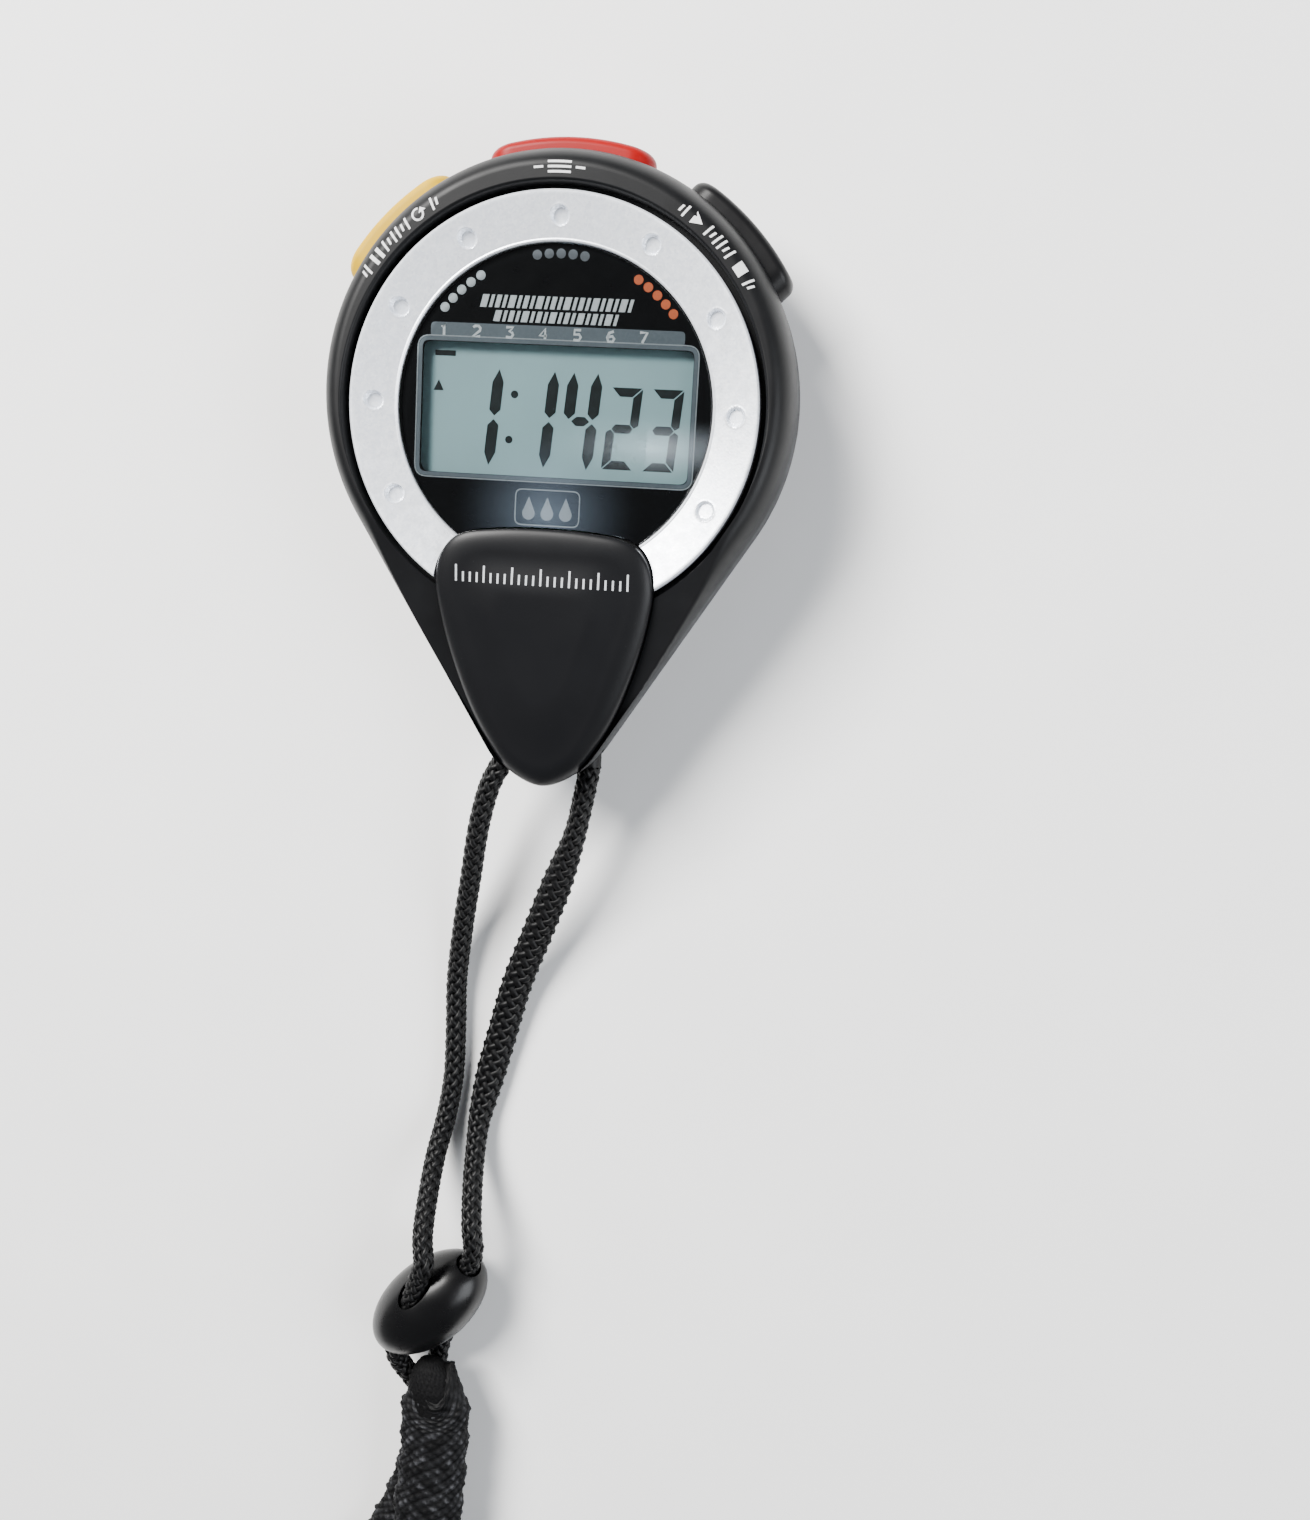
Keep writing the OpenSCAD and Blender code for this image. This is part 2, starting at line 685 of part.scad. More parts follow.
module button_clip(angle) {
    color("#b8b8bc") on_button(angle) difference() {
        radial(clip_u + 0.02, clip_u + clip_t - 0.02, clip_r);
        radial(clip_u - 1, clip_u + clip_t + 1, groove_r + 0.02);
        translate([clip_u - 1, 0, -groove_r * 0.8]) cube([clip_t + 2, clip_r + 1, groove_r * 1.6]);
    }
}

module button_bushes() {
    color("#cfa95b") for (a = angles) on_button(a) difference() {
        radial(block_r, seal_u, bush_r - 0.02);
        radial(block_r - 1, seal_u + 1, stem_r + running);
    }
}

module button_seals() {
    inner = stem_r + running;
    minor = (bush_r - 0.02 - inner) / 2;
    color("#222222") for (a = angles) on_button(a)
        translate([seal_u + seal_t / 2, 0, 0]) rotate([0, 90, 0])
            rotate_extrude() translate([inner + minor, 0]) circle(r = minor, $fn = 24);
}

// ---- lanyard ----

module cord_bight() {
    color("#101012") intersection() {
        cord_channel(cord_d / 2);
        translate([-20, cord_mouth_y, 0]) cube([40, 40, 20]);
    }
}

module slider_bead() {
    color("#0a0a0a") translate(bead_at) difference() {
        rotate([0, 0, bead_turn]) rotate([0, 90, 0]) rotate_extrude($fn = 96)
            polygon([for (a = [-90:5:90]) [bead_r * cos(a), bead_a * sin(a)]]);
        rotate([0, 0, bead_cord_turn]) rotate([bead_cord_tilt, 0, 0]) for (p = bead_holes)
            translate([p.x, 20, p.y]) rotate([90, 0, 0]) cylinder(h = 40, r = bead_hole_r, $fn = 48);
    }
}

// Sewn end of the strap, which the thin cords go into
module strap_mouth() {
    route = [[-15.4, -144.4, 5.6], [-15.1, -145.6, 5.9], [-14.6, -147.2, 6.5], [-14.2, -148.6, 6.9]];
    widths = [2.4, 4.8, 7.2, 8.4];
    color("#0c0c0d") skin([for (i = [0:len(route) - 1]) [for (k = [0:11])
        route[i] + [cos(30 * k), 0, sin(30 * k) / 2.1] * widths[i] / 2]]);
}

module hank_hull() {
    hull() for (y = [hank_top, hank_low]) translate([hank_x, y, 0]) children();
}

module strap_hank() {
    low = layer_low - strap_t / 2;
    high = layer_high + strap_t / 2;
    outer = hank_r + strap_w / 2 + 0.2;
    color("#131316") difference() {
        hank_hull() rotate_extrude($fn = 96) polygon([
            [0, low], [outer - 1, low], [outer, low + 1], [outer, high - 1], [outer - 1, high], [0, high]
        ]);
        hank_hull() cylinder(h = 20, r = hank_r - strap_w / 2 - 0.2, $fn = 96);
    }
}

module strap_tie() {
    band = 0.6;
    half_w = strap_w / 2 + 0.5;
    high = layer_high + strap_t / 2 + 0.15;
    color("#1c1c1f") translate([hank_x - 3.5, hank_low - hank_r, 0]) difference() {
        translate([0, -half_w - band, 0]) cube([7, 2 * (half_w + band), high + band]);
        translate([-1, -half_w, band]) cube([9, 2 * half_w, high - band]);
    }
}

front_case();
rear_case();
case_gasket();
case_screws();
bezel_ring();
window();
dial_plate();
shield();
lcd_panel();
lcd_frame();
zebra_strips();
circuit_board();
processor_blob();
quartz_crystal();
board_parts();
board_screws();
switch_contacts();
buzzer_disc();
buzzer_springs();
coin_cell();
cell_holder();
cell_contact_plus();
cell_contact_minus();
battery_door();
door_seal();
button(90, "#c8252c");  // mode_button
button(90 + side_angle, "#f2cf1b");  // split_button
button(90 - side_angle, "#1c1c1e");  // start_button
button_spring(90);  // mode_spring
button_spring(90 + side_angle);  // split_spring
button_spring(90 - side_angle);  // start_spring
button_clip(90);  // mode_clip
button_clip(90 + side_angle);  // split_clip
button_clip(90 - side_angle);  // start_clip
button_bushes();
button_seals();
cord_bight();
color("#101012") tube(cord_left_route, cord_d, cord_d, 8);  // cord_left
color("#101012") tube(cord_right_route, cord_d, cord_d, 8);  // cord_right
slider_bead();
color("#131316") tube(strap_lower_route, strap_w, strap_t, 12);  // strap_lower
color("#131316") tube(strap_upper_route, strap_w, strap_t, 12);  // strap_upper
strap_mouth();
strap_hank();
strap_tie();
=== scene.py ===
"""Looks of the hand-held digital stopwatch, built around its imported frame.

All shapes are worked out in millimetres and turned into metres when their meshes are made.
"""

import math

import bmesh
import bpy
import numpy as np
from mathutils import Matrix, Vector


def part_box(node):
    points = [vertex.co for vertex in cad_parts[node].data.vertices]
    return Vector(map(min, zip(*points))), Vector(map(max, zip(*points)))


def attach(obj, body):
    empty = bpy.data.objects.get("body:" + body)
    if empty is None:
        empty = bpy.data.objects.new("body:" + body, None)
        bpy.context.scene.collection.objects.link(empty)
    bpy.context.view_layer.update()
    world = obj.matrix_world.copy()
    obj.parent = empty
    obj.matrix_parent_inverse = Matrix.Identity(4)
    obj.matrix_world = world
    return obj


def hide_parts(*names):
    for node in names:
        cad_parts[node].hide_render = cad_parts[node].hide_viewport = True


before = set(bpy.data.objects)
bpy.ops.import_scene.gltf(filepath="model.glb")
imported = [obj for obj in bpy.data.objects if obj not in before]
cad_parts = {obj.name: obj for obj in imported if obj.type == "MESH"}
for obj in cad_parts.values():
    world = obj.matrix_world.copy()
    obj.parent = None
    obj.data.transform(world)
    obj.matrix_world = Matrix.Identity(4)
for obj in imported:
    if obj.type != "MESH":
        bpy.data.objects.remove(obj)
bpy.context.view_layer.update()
MM = 0.001


def node_box(node):
    """Lowest and highest corner of a node, in millimetres."""
    low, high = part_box(node)
    return np.array(low) / MM, np.array(high) / MM


# ---------------------------------------------------------------- sizes from the frame
CASE_LOW, CASE_HIGH = node_box("front_case")
REAR_LOW = node_box("rear_case")[0]
RING_LOW, RING_HIGH = node_box("bezel_ring")
WINDOW_LOW, WINDOW_HIGH = node_box("window")
DIAL_LOW, DIAL_HIGH = node_box("dial_plate")
LCD_LOW, LCD_HIGH = node_box("lcd_panel")
CAP_LOW, CAP_HIGH = node_box("mode_button")
DOOR_LOW, DOOR_HIGH = node_box("battery_door")

CASE_R = CASE_HIGH[0]
CASE_Y = CASE_HIGH[1] - CASE_R
SEAM_Z = CASE_LOW[2]
RIM_Z = CASE_HIGH[2]
TIP_R = 9.0
TIP_Y = -CASE_LOW[1] - TIP_R
TAPER = math.asin((CASE_R - TIP_R) / (TIP_Y + CASE_Y))
RIM_IN = 3.0
RIM_TALL = 5.9

RING_R = RING_HIGH[0]
RING_IN = 20.95
RING_SEAT = RING_LOW[2]
FACE_Z = 19.0
RING_DISH = 1.5
GROOVE = 0.8
DIMPLE_R = 1.25
DIMPLE_PITCH = 24.0
DIMPLE_DEEP = 0.75
WALL = 2.0

SLOPE = math.radians(10.2)
SLOPE_Y = -21.0
SLOPE_Z = FACE_Z + 0.4
SHIELD_SLOPE = math.radians(7.0)
SHIELD_H = 1.2
SHIELD_SINK = 0.7
SHIELD_ROUND = 3.4
SHIELD_CROWN = 0.7
SHIELD_MID = np.array([0.0, -30.0])
SHIELD_HALF = [
    (0, -15.6), (6, -15.8), (11, -16.6), (13.6, -18.9), (14.6, -22.5), (14.2, -26.5), (12.7, -32.6),
    (10.2, -39.6), (7.6, -44.6), (4.6, -48.6), (0, -50.6),
]

CAP_R = CAP_HIGH[1]
BUTTON_Z = (CAP_LOW[2] + CAP_HIGH[2]) / 2
CAP_H = CAP_HIGH[2] - CAP_LOW[2]
MODE_HALF = CAP_HIGH[0]
SIDE_HALF = 9.3
SIDE_ANGLE = 45
POCKET_R = CASE_R - 2.5
CAP_IN = POCKET_R + 1.4
CAP_PLAY = 0.25
BLOCK_R = CASE_R - 5.3

DIAL_TOP = DIAL_HIGH[2]
LCD_TOP = LCD_HIGH[2]
LCD_Y = (LCD_LOW[1] + LCD_HIGH[1]) / 2
APERTURE = (36.0, 16.9)

# ---------------------------------------------------------------- the camera
CAMERA_AT = (0.04308, -0.0117, 0.2141)
CAMERA_RIGHT = (0.9877, 0.0560, -0.1459)
CAMERA_UP = (-0.0791, 0.9844, -0.1573)
LENS = 35.5


def make_camera():
    data = bpy.data.cameras.new("camera")
    camera = bpy.data.objects.new("camera", data)
    bpy.context.scene.collection.objects.link(camera)
    right = Vector(CAMERA_RIGHT).normalized()
    up = Vector(CAMERA_UP)
    back = right.cross(up).normalized()
    up = back.cross(right)
    turn = Matrix((right, up, back)).transposed().to_4x4()
    camera.matrix_world = Matrix.Translation(CAMERA_AT) @ turn
    data.lens = LENS
    data.sensor_width = 36
    data.clip_start = 0.01
    data.clip_end = 20
    bpy.context.scene.camera = camera


make_camera()


# ---------------------------------------------------------------- material tools
class Finish:
    """A material round one Principled shader, with short ways to wire its pattern."""

    def __init__(self, name, color, rough, **sockets):
        self.mat = bpy.data.materials.new(name)
        self.mat.use_nodes = True
        self.nodes = self.mat.node_tree.nodes
        self.links = self.mat.node_tree.links
        self.shader = self.nodes["Principled BSDF"]
        self.shader.inputs["Base Color"].default_value = (*color, 1)
        self.shader.inputs["Roughness"].default_value = rough
        for key, value in sockets.items():
            self.shader.inputs[key.replace("_", " ")].default_value = value
        self.place = self.nodes.new("ShaderNodeTexCoord").outputs["Object"]
        self.normal = None

    def add(self, kind, **values):
        node = self.nodes.new("ShaderNode" + kind)
        for key, value in values.items():
            if hasattr(node, key):
                setattr(node, key, value)
            else:
                node.inputs[key.replace("_", " ")].default_value = value
        return node

    def noise(self, scale, detail=2.0, place=None):
        node = self.add("TexNoise", Scale=scale, Detail=detail)
        self.links.new(place or self.place, node.inputs["Vector"])
        return node.outputs["Fac"]

    def cells(self, scale, feature="F1", output="Distance"):
        node = self.add("TexVoronoi", Scale=scale, feature=feature)
        self.links.new(self.place, node.inputs["Vector"])
        return node.outputs[output]

    def ramp(self, factor, *stops):
        node = self.add("ValToRGB")
        band = node.color_ramp
        while len(band.elements) < len(stops):
            band.elements.new(0.5)
        for element, (at, color) in zip(band.elements, stops):
            element.position = at
            element.color = (*color, 1) if isinstance(color, tuple) else (color, color, color, 1)
        self.links.new(factor, node.inputs["Fac"])
        return node.outputs["Color"]

    def math(self, operation, a, b=None):
        node = self.add("Math", operation=operation)
        for i, value in enumerate((a, b)):
            if value is None:
                continue
            if isinstance(value, (int, float)):
                node.inputs[i].default_value = value
            else:
                self.links.new(value, node.inputs[i])
        return node.outputs[0]

    def attribute(self, name, output="Fac"):
        return self.add("Attribute", attribute_name=name).outputs[output]

    def paint(self, socket, value):
        self.links.new(value, self.shader.inputs[socket])

    def bump(self, height, strength, distance):
        node = self.add("Bump", Strength=strength, Distance=distance)
        self.links.new(height, node.inputs["Height"])
        if self.normal is not None:
            self.links.new(self.normal, node.inputs["Normal"])
        self.normal = node.outputs["Normal"]
        self.links.new(self.normal, self.shader.inputs["Normal"])
        return self


def satin_plastic(name, color, rough=0.42, grain=0.35):
    """Moulded plastic with a fine spark-eroded grain and slow changes of gloss."""
    f = Finish(name, color, rough, IOR=1.5, Specular_IOR_Level=0.17)
    fine = f.noise(9000, 2)
    f.bump(fine, grain, 0.00002)
    f.bump(f.noise(600, 3), 0.08, 0.00005)
    cloud = f.noise(120, 4)
    f.paint("Roughness", f.ramp(cloud, (0.3, rough - 0.05), (0.7, rough + 0.06)))
    dark = tuple(c * 0.86 for c in color)
    light = tuple(min(1, c * 1.12) for c in color)
    f.paint("Base Color", f.ramp(f.noise(260, 5), (0.3, dark), (0.7, light)))
    return f.mat


def case_finish():
    return satin_plastic("case plastic", (0.0048, 0.005, 0.0056), 0.42, 0.3)


def rear_finish():
    return satin_plastic("rear plastic", (0.006, 0.006, 0.0066), 0.5, 0.6)


def shield_finish():
    """Smoother than the case, with a few dust specks."""
    f = Finish("shield plastic", (0.0052, 0.0054, 0.0062), 0.38, IOR=1.5, Specular_IOR_Level=0.2)
    f.bump(f.noise(7000, 2), 0.16, 0.00002)
    f.paint("Roughness", f.ramp(f.noise(90, 3), (0.3, 0.35), (0.75, 0.43)))
    specks = f.ramp(f.cells(700), (0.0, (0.06, 0.06, 0.065)), (0.03, (0.0052, 0.0054, 0.0062)))
    f.paint("Base Color", specks)
    return f.mat


def silver_finish():
    """Metallic paint: fine flakes and faint unevenness."""
    f = Finish("silver paint", (0.86, 0.9, 0.96), 0.34, Metallic=0.4, IOR=1.6)
    flakes = f.cells(3200, output="Color")
    flake_tone = f.ramp(flakes, (0.1, (0.78, 0.82, 0.89)), (0.9, (0.93, 0.96, 1.0)))
    f.paint("Base Color", flake_tone)
    f.bump(f.cells(2600), 0.35, 0.000015)
    f.bump(f.noise(420, 4), 0.1, 0.00006)
    f.paint("Roughness", f.ramp(f.noise(800, 4), (0.25, 0.27), (0.75, 0.4)))
    return f.mat


def window_finish():
    """Clear pane: light passes straight through, and its face mirrors by angle."""
    mat = bpy.data.materials.new("clear window")
    mat.use_nodes = True
    nodes, links = mat.node_tree.nodes, mat.node_tree.links
    nodes.remove(nodes["Principled BSDF"])
    clear = nodes.new("ShaderNodeBsdfTransparent")
    clear.inputs["Color"].default_value = (0.93, 0.95, 0.95, 1)
    mirror = nodes.new("ShaderNodeBsdfGlossy")
    mirror.inputs["Roughness"].default_value = 0.015
    edge = nodes.new("ShaderNodeFresnel")
    edge.inputs["IOR"].default_value = 1.49
    mix = nodes.new("ShaderNodeMixShader")
    links.new(edge.outputs[0], mix.inputs[0])
    links.new(clear.outputs[0], mix.inputs[1])
    links.new(mirror.outputs[0], mix.inputs[2])
    links.new(mix.outputs[0], nodes["Material Output"].inputs["Surface"])
    return mat


def dial_finish():
    f = Finish("dial print", (0.0008, 0.0008, 0.0011), 0.3, IOR=1.45, Specular_IOR_Level=0.04)
    f.bump(f.noise(5000, 2), 0.1, 0.00001)
    f.paint("Roughness", f.ramp(f.noise(300, 2), (0.3, 0.26), (0.7, 0.36)))
    return f.mat


def ink(name, color, rough=0.5):
    """Screen-printed ink with a slight unevenness."""
    f = Finish(name, color, rough, IOR=1.45)
    f.paint("Base Color", f.ramp(f.noise(2500, 3), (0.25, tuple(c * 0.82 for c in color)), (0.7, color)))
    f.bump(f.noise(4000, 2), 0.2, 0.00001)
    return f.mat


def lcd_finish():
    """Reflective display: a grey-green scattering layer behind glass."""
    f = Finish("display", (0.34, 0.52, 0.555), 0.4, IOR=1.5, Coat_Weight=0.3, Coat_Roughness=0.08)
    f.paint("Base Color", f.ramp(f.noise(55, 2), (0.3, (0.32, 0.49, 0.525)), (0.7, (0.36, 0.55, 0.585))))
    f.bump(f.noise(9000, 1), 0.12, 0.00001)
    return f.mat


def segment_finish():
    f = Finish("display segments", (0.01, 0.014, 0.016), 0.45, IOR=1.45, Specular_IOR_Level=0.15)
    f.paint("Base Color", f.ramp(f.noise(900, 2), (0.3, (0.01, 0.013, 0.014)), (0.7, (0.016, 0.021, 0.022))))
    return f.mat


def button_finish(name, color, rough=0.42):
    f = Finish(name, color, rough, IOR=1.5, Specular_IOR_Level=0.16)
    f.bump(f.noise(6000, 2), 0.18, 0.00002)
    f.paint("Roughness", f.ramp(f.noise(200, 3), (0.3, rough - 0.04), (0.7, rough + 0.05)))
    f.paint("Base Color", f.ramp(f.noise(500, 3), (0.3, tuple(c * 0.93 for c in color)), (0.7, color)))
    return f.mat


def bead_finish():
    f = Finish("bead plastic", (0.003, 0.003, 0.0033), 0.3, IOR=1.5, Specular_IOR_Level=0.26)
    f.bump(f.noise(500, 3), 0.05, 0.00008)
    f.paint("Roughness", f.ramp(f.noise(350, 4), (0.35, 0.26), (0.75, 0.34)))
    return f.mat


def cord_finish():
    """Black polyester strands: fine filaments with a dull shine."""
    f = Finish("cord strands", (0.004, 0.004, 0.0042), 0.45, IOR=1.5, Specular_IOR_Level=0.2)
    fibres = f.noise(2600, 4)
    f.paint("Base Color", f.ramp(fibres, (0.35, (0.001, 0.001, 0.0011)), (0.75, (0.005, 0.005, 0.0055))))
    f.bump(f.noise(9000, 3), 0.7, 0.00003)
    return f.mat


def strap_finish():
    """Textured braid: painted shade in the valleys between strands and at the tucked end, lighter stitch
    crowns as painted highlights, and stitches of uneven lightness.
    """
    f = Finish("strap braid", (0.01, 0.01, 0.011), 0.6, IOR=1.5, Specular_IOR_Level=0.15)
    # the stitch attribute is painted shade and painted highlight: dark valleys between strands, a darker
    # tucked end, light stitch crowns, with random lightness per stitch
    stitch = f.attribute("stitch")
    shading_and_mottle = f.math("MULTIPLY", stitch, f.ramp(f.noise(1500, 4), (0.3, 0.45), (0.7, 1.0)))
    f.paint("Base Color", f.ramp(shading_and_mottle, (0.12, (0.001, 0.001, 0.0012)), (0.4, (0.009, 0.0092, 0.0102)),
                                 (0.85, (0.055, 0.056, 0.062))))
    f.bump(f.noise(7000, 4), 0.8, 0.00004)
    return f.mat


def metal_finish(name, color, rough, grain=2500):
    f = Finish(name, color, rough, Metallic=1.0)
    f.bump(f.noise(grain, 3), 0.2, 0.00001)
    f.paint("Roughness", f.ramp(f.noise(grain / 3, 4), (0.3, max(0.05, rough - 0.08)), (0.7, rough + 0.1)))
    return f.mat


def plain_finish(name, color, rough, scale=900):
    f = Finish(name, color, rough, IOR=1.45)
    f.bump(f.noise(scale * 5, 2), 0.2, 0.00002)
    f.paint("Base Color", f.ramp(f.noise(scale, 3), (0.3, tuple(c * 0.85 for c in color)), (0.7, color)))
    return f.mat


# ---------------------------------------------------------------- mesh tools
def put(name, points, faces, mat, sharp=35):
    """A new object from points in millimetres, smooth but for edges over the sharp angle."""
    mesh = bpy.data.meshes.new(name)
    mesh.from_pydata([tuple(p) for p in np.asarray(points, float) * MM], [], faces)
    tidy(mesh)
    mesh.materials.append(mat)
    obj = bpy.data.objects.new(name, mesh)
    bpy.context.scene.collection.objects.link(obj)
    smooth(mesh, sharp)
    return obj


def tidy(mesh, merge=1e-7):
    bm = bmesh.new()
    bm.from_mesh(mesh)
    bmesh.ops.remove_doubles(bm, verts=bm.verts, dist=merge)
    bmesh.ops.dissolve_degenerate(bm, edges=bm.edges, dist=merge)
    bmesh.ops.recalc_face_normals(bm, faces=bm.faces)
    bm.to_mesh(mesh)
    bm.free()
    mesh.update()


def smooth(mesh, sharp):
    mesh.shade_smooth()
    mesh.set_sharp_from_angle(angle=math.radians(sharp))


def loft(rings, closed=True, caps=True, loop=False):
    """Faces through rings of the same number of points; loop joins the last ring to the first."""
    rings = [np.asarray(r, float) for r in rings]
    n, m = len(rings[0]), len(rings)
    points = np.concatenate(rings)
    faces = []
    for j in range(m if loop else m - 1):
        for i in range(n if closed else n - 1):
            k, above = (i + 1) % n, (j + 1) % m
            faces.append((j * n + i, j * n + k, above * n + k, above * n + i))
    if caps and not loop:
        faces.append(tuple(range(n - 1, -1, -1)))
        faces.append(tuple(range((m - 1) * n, m * n)))
    return points, faces


def lathe(profile, steps=180, middle=(0, 0)):
    """A ring or disc from an outline of (radius, height), closed on itself."""
    turns = np.linspace(0, 2 * math.pi, steps, endpoint=False)
    x, y = middle
    rings = [[(x + r * math.cos(a), y + r * math.sin(a), z) for r, z in profile] for a in turns]
    return loft(rings, caps=False, loop=True)


def prism(outline, low, high):
    flat = [(p[0], p[1]) for p in outline]
    return loft([[(x, y, low) for x, y in flat], [(x, y, high) for x, y in flat]])


def circle(radius, steps=64, middle=(0, 0)):
    return [(middle[0] + radius * math.cos(a), middle[1] + radius * math.sin(a))
            for a in np.linspace(0, 2 * math.pi, steps, endpoint=False)]


def joined(*solids):
    points, faces, start = [], [], 0
    for p, f in solids:
        points.append(np.asarray(p, float))
        faces += [tuple(i + start for i in face) for face in f]
        start += len(p)
    return np.concatenate(points), faces


def moved(solid, matrix):
    points, faces = solid
    m = np.array(matrix)
    return np.asarray(points) @ m[:3, :3].T + m[:3, 3], faces


def carve(obj, *solids, operation="DIFFERENCE", sharp=35):
    """Cuts solids out of an object, one after another, or joins them to it."""
    for solid in solids:
        tool = put("tool", *solid, obj.data.materials[0])
        cut = obj.modifiers.new("cut", "BOOLEAN")
        cut.object = tool
        cut.operation = operation
        cut.solver = "EXACT"
        bake(obj)
        bpy.data.meshes.remove(tool.data)
    smooth(obj.data, sharp)
    return obj


def bake(obj):
    """Replaces an object's mesh by its mesh with its modifiers applied."""
    bpy.context.view_layer.update()
    graph = bpy.context.evaluated_depsgraph_get()
    mesh = bpy.data.meshes.new_from_object(obj.evaluated_get(graph))
    old = obj.data
    obj.modifiers.clear()
    obj.data = mesh
    mesh.name = obj.name
    if old.users == 0:
        bpy.data.meshes.remove(old)
    return obj


def finish_piece(obj, body, slot, *nodes):
    """Says what body a piece rides on and the nodes that it stands for, which it hides; the slot argument is
    not used.
    """
    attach(obj, body)
    if nodes:
        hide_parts(*nodes)
    return obj


def quarter(a, b, steps):
    """(in, up) shares of a quarter ellipse, from its side to its top."""
    turns = np.linspace(0, math.pi / 2, steps)
    return [(a * (1 - math.cos(t)), b * math.sin(t)) for t in turns]


def rounded(points, radius, steps=5):
    """A closed outline with its corners rounded."""
    out = []
    n = len(points)
    for i in range(n):
        before, at, after = (np.array(points[(i + k) % n], float) for k in (-1, 0, 1))
        u, v = before - at, after - at
        lu, lv = np.linalg.norm(u), np.linalg.norm(v)
        r = min(radius, lu / 2, lv / 2)
        a, b = at + u / lu * r, at + v / lv * r
        for t in np.linspace(0, 1, steps):
            out.append(tuple((1 - t) ** 2 * a + 2 * t * (1 - t) * at + t * t * b))
    return out


def spline(points, step, closed=False):
    """A smooth line through points (Catmull-Rom), at even steps of its length."""
    p = np.asarray(points, float)
    n = len(p)
    count = n if closed else n - 1
    fine = []
    for i in range(count):
        if closed:
            a, b, c, d = (p[(i + k) % n] for k in (-1, 0, 1, 2))
        else:
            b, c = p[i], p[i + 1]
            a = p[i - 1] if i else 2 * b - c
            d = p[i + 2] if i + 2 < n else 2 * c - b
        for t in np.linspace(0, 1, 24, endpoint=False):
            fine.append(0.5 * (2 * b + (c - a) * t + (2 * a - 5 * b + 4 * c - d) * t ** 2
                               + (3 * b - a - 3 * c + d) * t ** 3))
    fine.append(p[0] if closed else p[-1])
    fine = np.array(fine)
    along = np.concatenate([[0], np.cumsum(np.linalg.norm(np.diff(fine, axis=0), axis=1))])
    places = np.linspace(0, along[-1], max(2, round(along[-1] / step) + 1))
    if closed:
        places = places[:-1]
    return np.stack([np.interp(places, along, fine[:, k]) for k in range(p.shape[1])], 1)


def line_length(points):
    return float(np.linalg.norm(np.diff(points, axis=0), axis=1).sum())


# ---------------------------------------------------------------- the cords
CORD_D = 3.0
STRAP_W = 11.0
STRAP_T = 4.3
CORD_LEFT = [
    (-6.3, -47.8, 11), (-8.4, -52, 10.6), (-10.2, -58.5, 9), (-11.9, -67, 6), (-13.5, -75.5, 3.4),
    (-14.5, -84, 2), (-14.5, -92, 1.6), (-14.6, -99.5, 1.6), (-15.4, -106, 2.2), (-16.2, -111.5, 4.6),
    (-16.2, -116.8, 8.2), (-15.9, -121.3, 11.2), (-15.25, -125.03, 12.47), (-15.98, -127.31, 11.77),
    (-17.17, -130.96, 10.67), (-18.36, -134.62, 9.57), (-19.55, -138.28, 8.47), (-20.74, -141.93, 7.37),
    (-20.9, -144, 6.4), (-20.2, -146, 5.6), (-19, -147.8, 5.1), (-18, -149.5, 4.8), (-17.6, -151.4, 4.6),
]
CORD_RIGHT = [
    (6, -47.8, 11), (5.2, -52.5, 10.6), (3.9, -58.5, 9.4), (1.2, -66.4, 7), (-1.9, -74.8, 4.6),
    (-5, -83.2, 2.7), (-7.1, -91.3, 1.8), (-9, -99.4, 1.6), (-10.2, -106, 1.9), (-10.3, -111.5, 3.6),
    (-9.8, -116.4, 6.3), (-9.15, -120.6, 8.4), (-8.71, -124.3, 8.45), (-9.89, -127.96, 7.35),
    (-11.08, -131.61, 6.25), (-12.27, -135.27, 5.15), (-13.46, -138.93, 4.05), (-14.65, -142.58, 2.95),
    (-15.1, -144.6, 2.8), (-15.1, -146.6, 3.3), (-14.7, -148.8, 4.1), (-14.4, -151.4, 4.6),
]
STRAP_LOWER = [
    (-15.4, -149.4, 2.4), (-15.4, -156, 2.4), (-15.6, -162, 2.4), (-16.6, -168, 2.4), (-19, -174.4, 2.4),
    (-22.6, -181, 2.6), (-27.2, -188, 2.8), (-32, -196, 2.9), (-37, -206, 2.9), (-41.4, -217, 2.9),
]
STRAP_UPPER = [
    (-14.2, -148.2, 7), (-14.2, -154, 7), (-14.2, -160, 7), (-14.6, -166, 7), (-14.8, -172, 7),
    (-12.4, -178, 7), (-6.4, -183, 7.1), (1.6, -187.6, 7.2), (9.4, -193.2, 7.4), (15.8, -200.4, 7.4),
    (20.2, -209, 7.4), (22.5, -218, 7.4),
]
HANK_X, HANK_TOP, HANK_LOW, HANK_R = -10.0, -226.0, -302.0, 33.0
LAYER_LOW, LAYER_HIGH = 2.9, 7.4


def hank_turn(end_y, first, steps=15):
    """Half a turn round one end of the hank, anticlockwise from its first angle, in degrees."""
    turns = np.radians(np.linspace(first, first + 180, steps))
    return [(HANK_X + HANK_R * math.cos(a), end_y + HANK_R * math.sin(a)) for a in turns]


